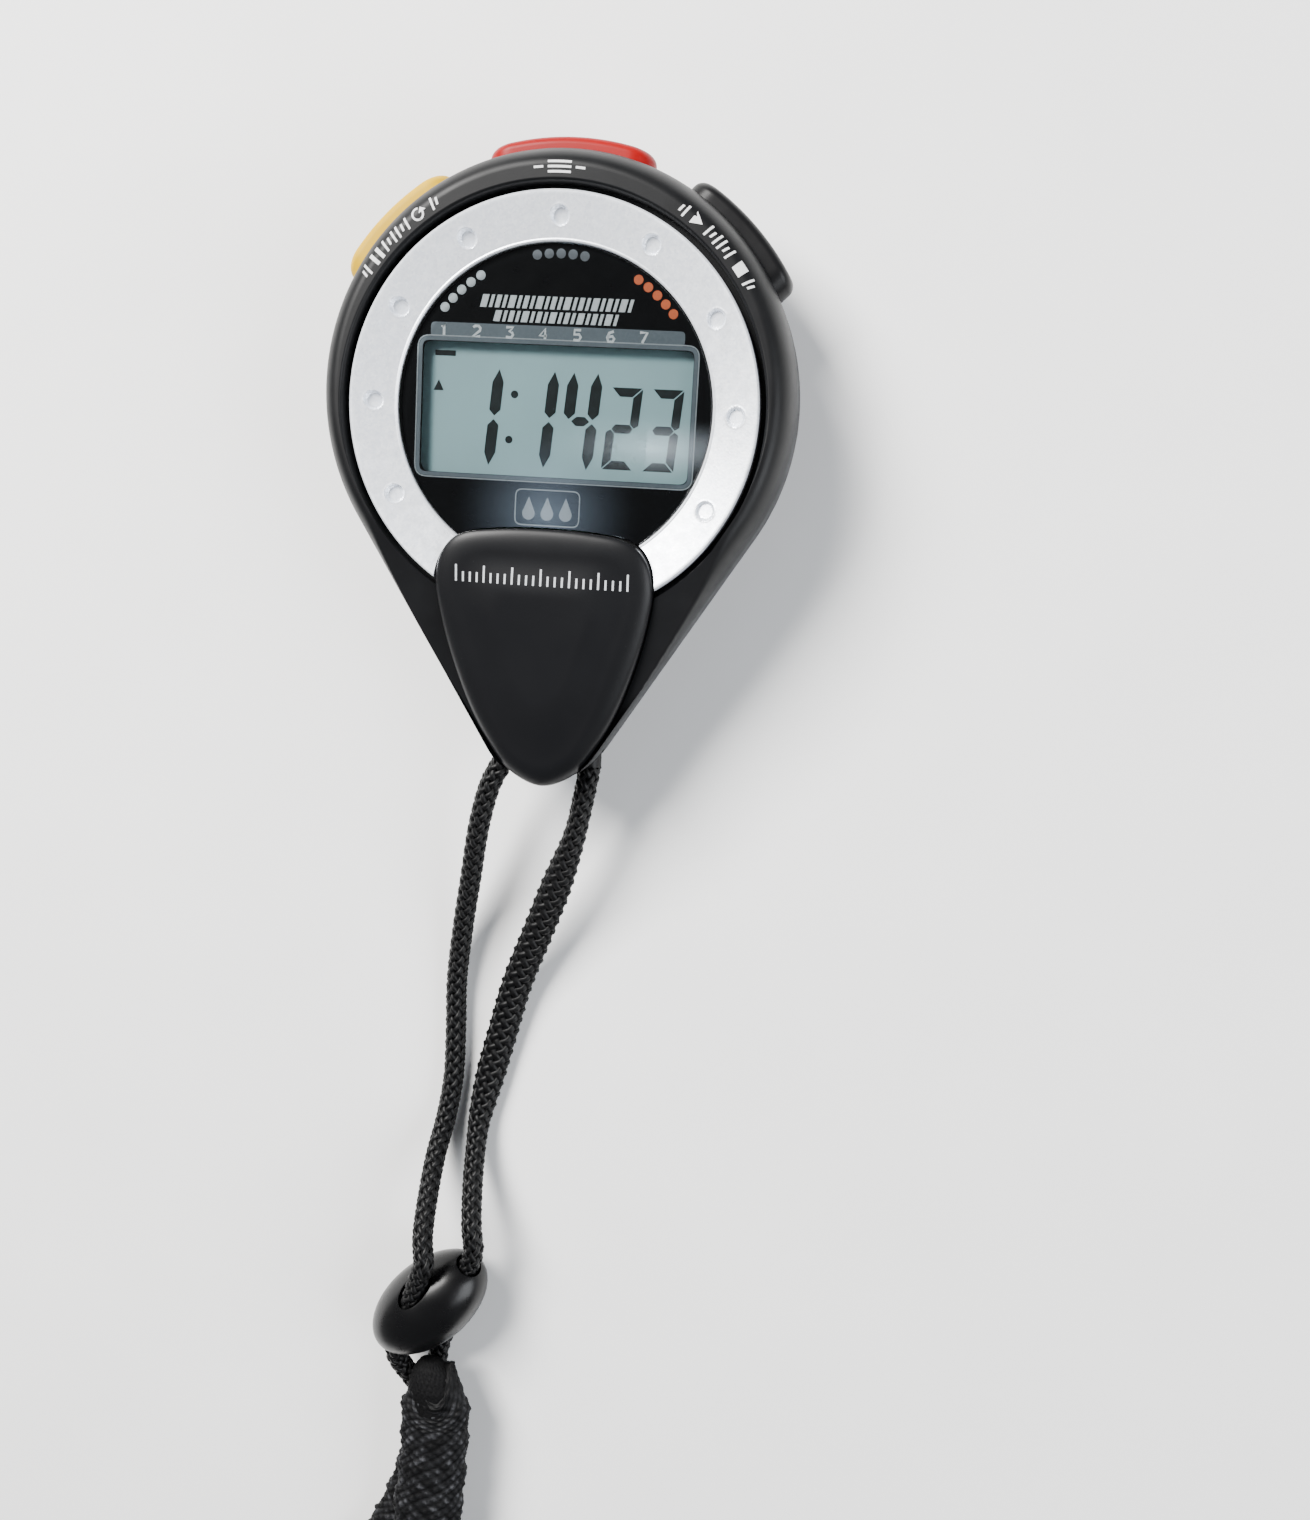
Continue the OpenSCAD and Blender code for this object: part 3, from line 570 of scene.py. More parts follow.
def hank_points():
    """The strap's way through the hank: one turn on the floor, then half a turn more on top of it."""
    low = [(x, y, LAYER_LOW) for x, y in hank_turn(HANK_LOW, 180)]
    climb = []
    for k, (x, y) in enumerate(hank_turn(HANK_TOP, 0, 25)):
        share = min(1, max(0, (k * 7.5 - 72) / 40))
        climb.append((x, y, LAYER_LOW + (LAYER_HIGH - LAYER_LOW) * share * share * (3 - 2 * share)))
    high = [(x, y, LAYER_HIGH) for x, y in hank_turn(HANK_LOW, 180)]
    left, right = HANK_X - HANK_R, HANK_X + HANK_R
    runs = [(y, HANK_TOP + HANK_LOW - y) for y in np.linspace(HANK_TOP, HANK_LOW, 7)[1:-1]]
    down_low = [(left, HANK_TOP, LAYER_LOW)] + [(left, y, LAYER_LOW) for y, _ in runs]
    up_low = [(right, y, LAYER_LOW) for _, y in runs]
    down_high = [(left, y, LAYER_HIGH) for y, _ in runs]
    up_high = [(right, y, LAYER_HIGH) for _, y in runs] + [(right, HANK_TOP, LAYER_HIGH)]
    return down_low + low + up_low + climb + down_high + high + up_high


def strand_tree():
    """Braid of thin strands round a curve: every second strand winds the other way, over and under."""
    tree = bpy.data.node_groups.new("braid", "GeometryNodeTree")
    face = tree.interface
    face.new_socket("Curve", in_out="INPUT", socket_type="NodeSocketGeometry")
    for name, value in (("Strands", 12), ("Sides", 6)):
        socket = face.new_socket(name, in_out="INPUT", socket_type="NodeSocketInt")
        socket.default_value = value
    for name, value in (("Pitch", 0.011), ("Middle Radius", 0.00124), ("Lift", 0.00017),
                        ("Strand Width", 0.00086), ("Strand Thickness", 0.0005), ("Step", 0.0004)):
        socket = face.new_socket(name, in_out="INPUT", socket_type="NodeSocketFloat")
        socket.default_value = value
    face.new_socket("Finish", in_out="INPUT", socket_type="NodeSocketMaterial")
    face.new_socket("Mesh", in_out="OUTPUT", socket_type="NodeSocketGeometry")
    nodes, links = tree.nodes, tree.links
    given = nodes.new("NodeGroupInput").outputs
    result = nodes.new("NodeGroupOutput").inputs

    def math_node(operation, a, b=None):
        node = nodes.new("ShaderNodeMath")
        node.operation = operation
        for i, value in enumerate((a, b)):
            if isinstance(value, (int, float)):
                node.inputs[i].default_value = value
            elif value is not None:
                links.new(value, node.inputs[i])
        return node.outputs[0]

    def scaled(vector, factor):
        node = nodes.new("ShaderNodeVectorMath")
        node.operation = "SCALE"
        links.new(vector, node.inputs[0])
        links.new(factor, node.inputs["Scale"])
        return node.outputs[0]

    def vectors(operation, a, b):
        node = nodes.new("ShaderNodeVectorMath")
        node.operation = operation
        links.new(a, node.inputs[0])
        links.new(b, node.inputs[1])
        return node.outputs[0]

    resample = nodes.new("GeometryNodeResampleCurve")
    resample.mode = "LENGTH"
    links.new(given["Curve"], resample.inputs["Curve"])
    links.new(given["Step"], resample.inputs["Length"])

    copies = nodes.new("GeometryNodeDuplicateElements")
    copies.domain = "SPLINE"
    links.new(resample.outputs[0], copies.inputs["Geometry"])
    links.new(given["Strands"], copies.inputs["Amount"])

    index = copies.outputs["Duplicate Index"]
    half = math_node("DIVIDE", given["Strands"], 2.0)
    pair = math_node("FLOOR", math_node("DIVIDE", index, 2.0))
    side = math_node("SUBTRACT", math_node("MULTIPLY", math_node("MODULO", index, 2.0), 2.0), 1.0)
    along = nodes.new("GeometryNodeSplineParameter").outputs["Length"]
    turns = math_node("DIVIDE", along, given["Pitch"])
    first = math_node("DIVIDE", pair, half)
    angle = math_node("MULTIPLY", math_node("ADD", math_node("MULTIPLY", turns, side), first), 2 * math.pi)
    wave = math_node("COSINE", math_node("MULTIPLY", math_node("MULTIPLY", turns, half), 2 * math.pi))
    lift = math_node("MULTIPLY", math_node("MULTIPLY", wave, side), given["Lift"])
    radius = math_node("ADD", given["Middle Radius"], lift)

    normal = nodes.new("GeometryNodeInputNormal").outputs[0]
    tangent = nodes.new("GeometryNodeInputTangent").outputs[0]
    across = vectors("CROSS_PRODUCT", tangent, normal)
    out = vectors("ADD", scaled(normal, math_node("COSINE", angle)), scaled(across, math_node("SINE", angle)))

    keep = nodes.new("GeometryNodeCaptureAttribute")
    keep.domain = "POINT"
    keep.capture_items.new("VECTOR", "Out")
    links.new(copies.outputs["Geometry"], keep.inputs["Geometry"])
    links.new(out, keep.inputs["Out"])

    place = nodes.new("GeometryNodeSetPosition")
    links.new(keep.outputs["Geometry"], place.inputs["Geometry"])
    links.new(scaled(keep.outputs["Out"], radius), place.inputs["Offset"])

    face_out = nodes.new("GeometryNodeSetCurveNormal")
    face_out.mode = "FREE"
    links.new(place.outputs[0], face_out.inputs["Curve"])
    links.new(keep.outputs["Out"], face_out.inputs["Normal"])

    def tube(curve, width, thickness):
        ring = nodes.new("GeometryNodeCurvePrimitiveCircle")
        ring.inputs["Radius"].default_value = 0.5
        links.new(given["Sides"], ring.inputs["Resolution"])
        size = nodes.new("ShaderNodeCombineXYZ")
        links.new(thickness, size.inputs[0])
        links.new(width, size.inputs[1])
        size.inputs[2].default_value = 1
        flat = nodes.new("GeometryNodeTransform")
        links.new(ring.outputs[0], flat.inputs["Geometry"])
        links.new(size.outputs[0], flat.inputs["Scale"])
        sweep = nodes.new("GeometryNodeCurveToMesh")
        sweep.inputs["Fill Caps"].default_value = True
        links.new(curve, sweep.inputs["Curve"])
        links.new(flat.outputs[0], sweep.inputs["Profile Curve"])
        return sweep.outputs[0]

    strands = tube(face_out.outputs[0], given["Strand Width"], given["Strand Thickness"])
    core_width = math_node("MULTIPLY", given["Middle Radius"], 1.85)
    core = tube(resample.outputs[0], core_width, core_width)
    both = nodes.new("GeometryNodeJoinGeometry")
    links.new(strands, both.inputs[0])
    links.new(core, both.inputs[0])
    real = nodes.new("GeometryNodeRealizeInstances")
    links.new(both.outputs[0], real.inputs[0])
    coat = nodes.new("GeometryNodeSetMaterial")
    links.new(real.outputs[0], coat.inputs["Geometry"])
    links.new(given["Finish"], coat.inputs["Material"])
    links.new(coat.outputs[0], result[0])
    return tree


def run_tree(obj, tree, **values):
    """Runs a node tree on an object, with its named inputs, and returns the plain mesh it makes."""
    step = obj.modifiers.new("make", "NODES")
    step.node_group = tree
    for item in tree.interface.items_tree:
        if item.in_out == "INPUT" and item.name.replace(" ", "_") in values:
            step[item.identifier] = values[item.name.replace(" ", "_")]
    bpy.context.view_layer.update()
    graph = bpy.context.evaluated_depsgraph_get()
    mesh = bpy.data.meshes.new_from_object(obj.evaluated_get(graph))
    obj.modifiers.clear()
    return mesh


def curve_object(name, points):
    data = bpy.data.curves.new(name, "CURVE")
    data.dimensions = "3D"
    line = data.splines.new("POLY")
    line.points.add(len(points) - 1)
    for at, p in zip(line.points, points):
        at.co = (*(np.asarray(p) * MM), 1)
    obj = bpy.data.objects.new(name, data)
    bpy.context.scene.collection.objects.link(obj)
    return obj


def flatten(mesh, line, start, end, wide, thick):
    """Makes a cord wider and thinner between two distances along its line."""
    points = np.zeros(len(mesh.vertices) * 3)
    mesh.vertices.foreach_get("co", points)
    points = points.reshape(-1, 3) / MM
    along = np.concatenate([[0], np.cumsum(np.linalg.norm(np.diff(line, axis=0), axis=1))])
    ahead = np.gradient(line, axis=0)
    side = np.stack([-ahead[:, 1], ahead[:, 0], np.zeros(len(line))], 1)
    side /= np.linalg.norm(side, axis=1)[:, None]
    for first in range(0, len(points), 20000):
        part = points[first:first + 20000]
        near = np.linalg.norm(part[:, None, :] - line[None], axis=2).argmin(1)
        rise = np.clip((along[near] - start) / 14, 0, 1) * np.clip((end - along[near]) / 14, 0, 1)
        share = rise * rise * (3 - 2 * rise)
        off = part - line[near]
        across = (off * side[near]).sum(1)
        part += side[near] * (across * share * (wide - 1))[:, None]
        part[:, 2] += off[:, 2] * share * (thick - 1)
    mesh.vertices.foreach_set("co", (points * MM).ravel())


def braided_cord(name, route, tree, mat):
    line = spline(route, 0.5)
    curve = curve_object(name + "_line", line)
    mesh = run_tree(curve, tree, Finish=mat)
    if name.startswith("cord_right"):
        flatten(mesh, line, 8, 66, 1.5, 0.72)
    bpy.data.objects.remove(curve)
    tidy_only_normals(mesh)
    obj = bpy.data.objects.new(name, mesh)
    mesh.name = name
    bpy.context.scene.collection.objects.link(obj)
    mesh.shade_smooth()
    return obj, line


def tidy_only_normals(mesh):
    bm = bmesh.new()
    bm.from_mesh(mesh)
    bmesh.ops.recalc_face_normals(bm, faces=bm.faces)
    bm.to_mesh(mesh)
    bm.free()


def make_cords():
    tree = strand_tree()
    mat = cord_finish()
    for name, route in (("cord_left_braid", CORD_LEFT), ("cord_right_braid", CORD_RIGHT)):
        obj, line = braided_cord(name, route, tree, mat)
        finish_piece(obj, "watch", "cord_braid", name.replace("_braid", ""))


def noise_of(ints, seed):
    """A repeatable number from 0 to 1 for each whole number."""
    value = (np.asarray(ints, np.int64) * 1103515245 + seed * 12345 + 54321) % 2147483647
    value = (value * 48271) % 2147483647
    return (value % 10007) / 10007


def strap_surface(line, rows_at, sides, weave_m, pitch):
    """Points and stitch shading of a flattened braid along a line: painted shade in the valleys between
    strands and at the tucked end, lighter crowns as painted highlights, and random lightness per stitch.
    """
    along = np.concatenate([[0], np.cumsum(np.linalg.norm(np.diff(line, axis=0), axis=1))])
    at = np.stack([np.interp(rows_at, along, line[:, k]) for k in range(3)], 1)
    ahead = np.gradient(at, axis=0)
    ahead /= np.linalg.norm(ahead, axis=1)[:, None]
    across = np.stack([-ahead[:, 1], ahead[:, 0], np.zeros(len(at))], 1)
    across /= np.linalg.norm(across, axis=1)[:, None]
    up = np.cross(ahead, across)
    theta = np.linspace(0, 2 * math.pi, sides, endpoint=False)
    share = theta / (2 * math.pi)
    s = rows_at[:, None]
    a = weave_m * share[None, :] + weave_m * s / pitch
    b = weave_m * share[None, :] - weave_m * s / pitch
    ia, ib = np.floor(a), np.floor(b)
    fa, fb = a - ia, b - ib
    over = (ia + ib) % 2 == 0
    cross = np.where(over, fa, fb)
    length = np.where(over, fb, fa)
    bulge = np.sqrt(np.clip(1 - (2 * cross - 1) ** 2, 0, 1)) * (0.35 + 0.65 * np.sin(math.pi * length))
    code = (ia % weave_m) * 613 + ib * 7919 + over * 31
    bright = noise_of(code, 7)
    height = bulge * (0.8 + 0.4 * noise_of(code, 3))
    wide, thick = STRAP_W / 2 - 0.42, STRAP_T / 2 - 0.42
    wobble = 1 + 0.022 * np.sin(s * 0.31) + 0.03 * np.sin(s * 1.13 + 1) + 0.018 * np.sin(s * 2.4)
    ex = np.sign(np.cos(theta)) * np.abs(np.cos(theta)) ** 0.85 * wide
    ez = np.sign(np.sin(theta)) * np.abs(np.sin(theta)) ** 0.85 * thick
    nx, nz = np.cos(theta) / wide, np.sin(theta) / thick
    norm = np.sqrt(nx ** 2 + nz ** 2)
    nx, nz = nx / norm, nz / norm
    grow = 0.42 * height
    neck = np.clip(np.minimum(s, rows_at[-1] - s) / 7.5, 0, 1)
    neck = 0.6 + 0.4 * neck * neck * (3 - 2 * neck)
    x = ex[None, :] * wobble * neck + nx[None, :] * grow
    z = ez[None, :] * (0.35 + 0.65 * neck) + nz[None, :] * grow
    points = at[:, None, :] + across[:, None, :] * x[..., None] + up[:, None, :] * z[..., None]
    middle = np.clip(1 - (x / wide / neck) ** 2, 0, 1) * np.clip(z / thick + 0.4, 0, 1)
    points += ahead[:, None, :] * (5.6 * middle * np.clip(1 - s / 10, 0, 1))[..., None]
    # painted shade and highlight in the strap colour: darker in the valleys between strands and over the
    # first 4 mm at the tucked end, lighter on stitch crowns; the random factor is each stitch's own tone
    stitch = bulge * (0.25 + 0.75 * bright) * np.clip(s / 4, 0.1, 1)
    return points, stitch


def make_strap(mouth, tie):
    route = [(-15.0, -145.2, 6.3)] + STRAP_UPPER + hank_points()[::-1] + STRAP_LOWER[::-1]
    line = spline(route, 1.0)
    total = line_length(line)
    shown = 46.0
    fine, coarse = 0.24, 0.78
    rows = np.concatenate([
        np.arange(0, shown, fine), np.arange(shown, total - shown, coarse),
        np.arange(total - shown, total, fine), [total]
    ])
    points, stitch = strap_surface(line, rows, 64, 16, 26)
    verts, faces = loft(points)
    mesh = bpy.data.meshes.new("neck_strap")
    mesh.from_pydata([tuple(p) for p in verts * MM], [], faces)
    # this attribute carries the painted shade and highlights of the braid colour
    lightness = mesh.attributes.new("stitch", "FLOAT", "POINT")
    lightness.data.foreach_set("value", stitch.ravel().astype(np.float32))
    mesh.materials.append(strap_finish())
    tidy_only_normals(mesh)
    mesh.shade_smooth()
    obj = bpy.data.objects.new("neck_strap", mesh)
    bpy.context.scene.collection.objects.link(obj)
    finish_piece(obj, "watch", "strap_braid", "strap_lower", "strap_upper", "strap_hank")



# ---------------------------------------------------------------- outlines of the case
def face_plane(y):
    return SLOPE_Z + math.tan(SLOPE) * (y - SLOPE_Y)


def shield_rise(y):
    return SHIELD_H + (math.tan(SLOPE) - math.tan(SHIELD_SLOPE)) * (SLOPE_Y + 5 - y)


def soft_min(a, b, blend):
    """The lower of two heights, with the corner between them rounded."""
    h = np.clip(0.5 + 0.5 * (b - a) / blend, 0, 1)
    return b * (1 - h) + a * h - blend * h * (1 - h)


def teardrop(inset, big=240, side=70, tip=60):
    """The tangent hull of the case circle and the tip circle, moved in by inset."""
    start = np.linspace(-TAPER, math.pi + TAPER, big)
    end = np.linspace(math.pi + TAPER, 2 * math.pi - TAPER, tip)
    top = (CASE_R - inset) * np.stack([np.cos(start), np.sin(start)], 1) + [0, CASE_Y]
    low = (TIP_R - inset) * np.stack([np.cos(end), np.sin(end)], 1) - [0, TIP_Y]
    share = np.linspace(0, 1, side + 2)[1:-1, None]
    left = top[-1] * (1 - share) + low[0] * share
    right = low[-1] * (1 - share) + top[0] * share
    return np.concatenate([top, left, low, right])


def level(outline, z):
    return np.column_stack([outline, np.full(len(outline), z) if np.isscalar(z) else z])


def shield_outline(grow, step=0.5):
    half = np.array(SHIELD_HALF, float)
    whole = np.concatenate([half * [-1, 1], half[-2:0:-1]])
    line = spline(whole, step, closed=True)
    out = line - SHIELD_MID
    size = np.linalg.norm(out, axis=1)[:, None]
    return SHIELD_MID + out * (1 + grow / size)


def shield_cutter(grow, low=10, high=26):
    return prism(shield_outline(grow), low, high)


def cavity_cutter(low, high):
    """Hollow of the shells, which leaves the block that the buttons slide in."""
    points = []
    for x, y in teardrop(WALL, 120, 20, 12):
        if y > -(TIP_Y - 7):
            turn = math.atan2(y, x)
            inner = BLOCK_R if y > 6 else math.hypot(x, y)
            points.append((inner * math.cos(turn), inner * math.sin(turn)))
    return prism(points, low, high)


def on_button(angle):
    """Frame of a button: X out along its radius, at the height of the button centres."""
    return Matrix.Translation((0, 0, BUTTON_Z)) @ Matrix.Rotation(math.radians(angle), 4, "Z")


def bar(profile, angle, steps=40):
    """A round bar along a button's radius, from (distance, radius) pairs."""
    turns = np.linspace(0, 2 * math.pi, steps, endpoint=False)
    rings = [[(u, r * math.cos(a), r * math.sin(a)) for a in turns] for u, r in profile]
    return moved(loft(rings), on_button(angle))


def pill(half, height, steps=26):
    """Outline of a cap seen from outside, and the nearest point of its middle line for each point."""
    straight, r = half - height / 2, height / 2
    outline, middle = [], []
    for side, first in ((1, -90), (-1, 90)):
        for a in np.radians(np.linspace(first, first + 180, steps)):
            outline.append((side * straight + r * math.cos(a), r * math.sin(a)))
            middle.append((side * straight, 0))
        for share in np.linspace(0, 1, 30)[1:-1]:
            x = side * straight * (1 - 2 * share)
            outline.append((x, side * r))
            middle.append((x, 0))
    return np.array(outline), np.array(middle)


def pill_rows(half, height, rows):
    """Rings of a pill on cylinders round the case axis, from (inset, radius) pairs."""
    outline, middle = pill(half, height)
    rings = []
    for inset, radius in rows:
        p = middle + (outline - middle) * (1 - inset / (height / 2))
        rings.append(np.column_stack([np.sqrt(radius ** 2 - p[:, 0] ** 2), p[:, 0], p[:, 1]]))
    return rings


BUTTONS = [
    ("mode_button", "mode_push", 90, MODE_HALF, "red_plastic"),
    ("split_button", "split_push", 90 + SIDE_ANGLE, SIDE_HALF, "yellow_plastic"),
    ("start_button", "start_push", 90 - SIDE_ANGLE, SIDE_HALF, "black_plastic"),
]
SCREWS = [(25 * math.cos(math.radians(a)), 25 * math.sin(math.radians(a))) for a in (15, 165)]
SCREWS += [(15.8, -24), (-15.8, -24)]


# ---------------------------------------------------------------- shells
def front_case():
    wall = [(0.15, SEAM_Z), (0.03, SEAM_Z + 0.5), (0, SEAM_Z + 2.5), (0, 11), (0, 12.8)]
    edge = [(i, RIM_Z - RIM_TALL + u) for i, u in quarter(RIM_IN, RIM_TALL, 26)]
    rings = [(teardrop(inset), z) for inset, z in wall + edge]
    crest = teardrop(RIM_IN)
    turn = np.arctan2(crest[:, 1], crest[:, 0])
    round_way = np.stack([np.cos(turn), np.sin(turn)], 1)
    groove_r = RING_R + GROOVE
    reach = np.linalg.norm(crest, axis=1)[:, None]
    crest_r = np.minimum(groove_r + 0.45, np.maximum(reach - 0.01, groove_r + 0.02))
    for share in np.linspace(0, 1, 36)[1:]:
        rings.append((crest * (1 - share) + crest_r * round_way * share, RIM_Z))
    for t in np.linspace(0, math.pi / 2, 9)[1:]:
        r = groove_r + (crest_r - groove_r) * (1 - math.sin(t))
        rings.append((r * round_way, RIM_Z - 0.8 * (1 - math.cos(t))))
    rings += [(groove_r * round_way, RING_SEAT), (15 * round_way, RING_SEAT)]
    solid = []
    for outline, z in rings:
        plane = face_plane(outline[:, 1])
        flat = float(z)
        sloping = soft_min(np.full(len(outline), flat), plane, 0.3) if z > RING_SEAT else flat
        solid.append(level(outline, sloping))
    obj = put("front_case_shell", *loft(solid), case_finish())
    pad_line = shield_outline(0)
    pad = loft([level(pad_line, 14), level(pad_line, face_plane(pad_line[:, 1]) - 0.4)])
    carve(obj, pad, operation="UNION")
    pocket = shield_outline(0.2)
    floor = face_plane(pocket[:, 1]) - SHIELD_SINK
    roof = DIAL_LOW[2] - 1.4
    bores = [prism(circle(RING_IN, 180), DIAL_LOW[2], 30), prism(circle(RING_IN - 1, 180), roof - 1, 30)]
    keep = put("keep", *shield_cutter(0), obj.data.materials[0])
    hole = put("hole", *bores[0], obj.data.materials[0])
    carve(hole, bores[1], operation="UNION")
    difference(hole, keep)
    difference(obj, hole)
    carve(obj, loft([level(pocket, floor), level(pocket, floor + 9)]), cavity_cutter(SEAM_Z - 1, roof))
    for _, _, angle, half, _ in BUTTONS:
        shape = pill_rows(half + CAP_PLAY, CAP_H + 2 * CAP_PLAY,
                          [(s * (CAP_H / 2 + CAP_PLAY), POCKET_R) for s in (0.999, 0.7, 0.4, 0.15, 0.04, 0)])
        outer = shape[-1].copy()
        outer[:, 0] = 42
        way = [(BLOCK_R - 1, 2.0), (POCKET_R - 0.2, 2.0), (POCKET_R - 0.2, 3.0), (POCKET_R + 2, 3.0)]
        carve(obj, moved(loft(shape + [outer]), on_button(angle)), bar(way, angle))
    carve(obj, cord_way(CORD_D / 2 + 0.4))
    return finish_piece(obj, "watch", "case_plastic", "front_case")


def difference(obj, tool):
    cut = obj.modifiers.new("cut", "BOOLEAN")
    cut.object = tool
    cut.operation = "DIFFERENCE"
    cut.solver = "EXACT"
    bake(obj)
    bpy.data.meshes.remove(tool.data)


def tube(route, radius, sides=28):
    """A round bar along a level route."""
    route = np.asarray(route, float)
    ahead = np.gradient(route, axis=0)
    ahead /= np.linalg.norm(ahead, axis=1)[:, None]
    across = np.cross([0, 0, 1], ahead)
    turns = np.linspace(0, 2 * math.pi, sides, endpoint=False)
    rings = [[at + radius * (math.cos(a) * side + math.sin(a) * np.array([0, 0, 1])) for a in turns]
             for at, side in zip(route, across)]
    return loft(rings)


def cord_way(radius):
    """The bend that the cord follows inside the tip."""
    bend_y, bend_r, height = -(TIP_Y + 3), 6, 11
    turns = np.radians(np.linspace(0, 180, 25))
    line = [(bend_r, bend_y - 12, height)]
    line += [(bend_r * math.cos(a), bend_y + bend_r * math.sin(a), height) for a in turns]
    return tube(line + [(-bend_r, bend_y - 12, height)], radius)


def rear_case():
    sides = spline([(4, 0), (2.6, 0.5), (1.6, 1.5), (0.85, 3), (0.4, 5), (0.15, SEAM_Z)], 0.25)
    sides[0], sides[-1] = (4, REAR_LOW[2]), (0.15, SEAM_Z)
    rings = [level(teardrop(i, 200, 24, 48), float(z)) for i, z in sides]
    obj = put("rear_case_shell", *loft(rings), rear_finish())
    middle = (0, (DOOR_LOW[1] + DOOR_HIGH[1]) / 2)
    floor_t, step_z, door_r = 2.2, 1.6, DOOR_HIGH[0]
    carve(obj, cavity_cutter(floor_t, SEAM_Z + 1),
          prism(circle(door_r + 0.1, 128, middle), -1, step_z),
          prism(circle(door_r - 0.9, 128, middle), -1, floor_t + 1))
    for p in SCREWS:
        carve(obj, prism(circle(2.2, 40, p), -1, 2.6))
    marks = []
    for turn in (90, 45):
        a = math.radians(turn)
        tip = np.array(middle) + (door_r + 1.0) * np.array([math.cos(a), math.sin(a)])
        out, side = np.array([math.cos(a), math.sin(a)]), np.array([-math.sin(a), math.cos(a)])
        shape = [tip, tip + 1.8 * out + 0.9 * side, tip + 1.8 * out - 0.9 * side]
        marks.append(prism(shape, -1, 0.25))
    carve(obj, *marks)
    for y in (-33, -30.6, -28.2, -25.8):
        half = 5.5 - abs(y + 30) * 0.3
        carve(obj, prism(rounded(box_line(-half, half, y - 0.45, y + 0.45), 0.4), -1, 0.35))
    return finish_piece(obj, "watch", "case_plastic", "rear_case")


def battery_door():
    """Round door with a coin slot and lugs that lock under the shell."""
    middle = (0, (DOOR_LOW[1] + DOOR_HIGH[1]) / 2)
    low, high, radius = DOOR_LOW[2], DOOR_HIGH[2], DOOR_HIGH[0]
    plug = radius - 1
    profile = [(0.01, low), (radius - 0.25, low), (radius - 0.07, low + 0.07), (radius, low + 0.25),
               (radius, low + 0.7), (plug, low + 0.7), (plug, 2.25), (0.01, 2.25)]
    solid = lathe(profile, 128, middle)
    lugs = []
    for start in (-10, 170):
        arc = np.radians(np.linspace(start, start + 20, 9))
        ring = [(middle[0] + 11.75 * math.cos(a), middle[1] + 11.75 * math.sin(a)) for a in arc]
        ring += [(middle[0] + 10.2 * math.cos(a), middle[1] + 10.2 * math.sin(a)) for a in arc[::-1]]
        lugs.append(prism(ring, 2.25, high))
    obj = put("battery_door_cover", *joined(solid, *lugs), rear_finish())
    slot = rounded(box_line(-6, 6, middle[1] - 0.8, middle[1] + 0.8), 0.7)
    dip_line = [(0.01, low - 1), (8.6, low - 1), (8.6, low), (8.3, low + 0.2), (0.01, low + 0.2)]
    dip = lathe(dip_line, 96, middle)
    carve(obj, dip, prism(slot, low - 1, low + 0.5))
    tip = np.array(middle) + [0, radius - 0.8]
    carve(obj, prism([tip, tip + [0.8, -1.5], tip + [-0.8, -1.5]], low - 1, low + 0.15))
    return finish_piece(obj, "door", "case_plastic", "battery_door")


# ---------------------------------------------------------------- face
def ring_height(r):
    inner = RING_IN + 0.4
    low, high = FACE_Z - RING_DISH / 2, FACE_Z + RING_DISH / 2 + 0.1
    return low + (high - low) * (r - inner) / (RING_R - 0.3 - inner)


def bezel_ring():
    """Dished ring with a chamfer at each edge and nine round dents."""
    steps = 1100
    reach = DIMPLE_R * 1.15
    radii = np.concatenate([np.linspace(RING_R - 0.38, DIMPLE_PITCH + reach, 6)[:-1],
                            np.linspace(DIMPLE_PITCH + reach, DIMPLE_PITCH - reach, 46),
                            np.linspace(DIMPLE_PITCH - reach, RING_IN + 0.4, 6)[1:]])
    turns = np.linspace(0, 2 * math.pi, steps, endpoint=False)
    ways = np.stack([np.cos(turns), np.sin(turns)], 1)
    dents = [math.radians(a) for a in range(0, 360, 30) if a < 225 or a > 315]
    middles = DIMPLE_PITCH * np.stack([np.cos(dents), np.sin(dents)], 1)
    high = ring_height(RING_R - 0.3)
    low = ring_height(RING_IN + 0.4)
    rings = [level(RING_R * ways, RING_SEAT), level(RING_R * ways, high - 0.32),
             level((RING_R - 0.05) * ways, high - 0.2), level((RING_R - 0.26) * ways, high - 0.02)]
    for r in radii:
        flat = r * ways
        far = np.linalg.norm(flat[:, None, :] - middles[None], axis=2).min(1) / DIMPLE_R
        wall = np.clip((1.02 - far) / 0.24, 0, 1)
        dent = DIMPLE_DEEP * wall * wall * (3 - 2 * wall) - 0.03 * np.exp(-((far - 1.07) / 0.06) ** 2)
        rings.append(level(flat, ring_height(r) - dent))
    rings += [level((RING_IN + 0.22) * ways, low + 0.03), level((RING_IN + 0.04) * ways, low - 0.1),
              level(RING_IN * ways, low - 0.22), level(RING_IN * ways, RING_SEAT)]
    obj = put("bezel_ring_silver", *loft(rings, caps=False, loop=True), silver_finish(), sharp=24)
    carve(obj, shield_cutter(0.3), sharp=24)
    return finish_piece(obj, "watch", "silver_ring", "bezel_ring")


def window():
    low, high, radius = WINDOW_LOW[2] + 0.06, WINDOW_HIGH[2], WINDOW_HIGH[0]
    profile = [(0.01, low), (radius, low), (radius, high - 0.15), (radius - 0.15, high), (0.01, high)]
    obj = put("window_pane", *lathe(profile, 180), window_finish())
    carve(obj, shield_cutter(0.2))
    return finish_piece(obj, "watch", "window", "window")


def aperture_line(grow, corner):
    w, h = APERTURE[0] / 2 + grow, APERTURE[1] / 2 + grow
    return rounded([(-w, LCD_Y - h), (w, LCD_Y - h), (w, LCD_Y + h), (-w, LCD_Y + h)], corner, 7)


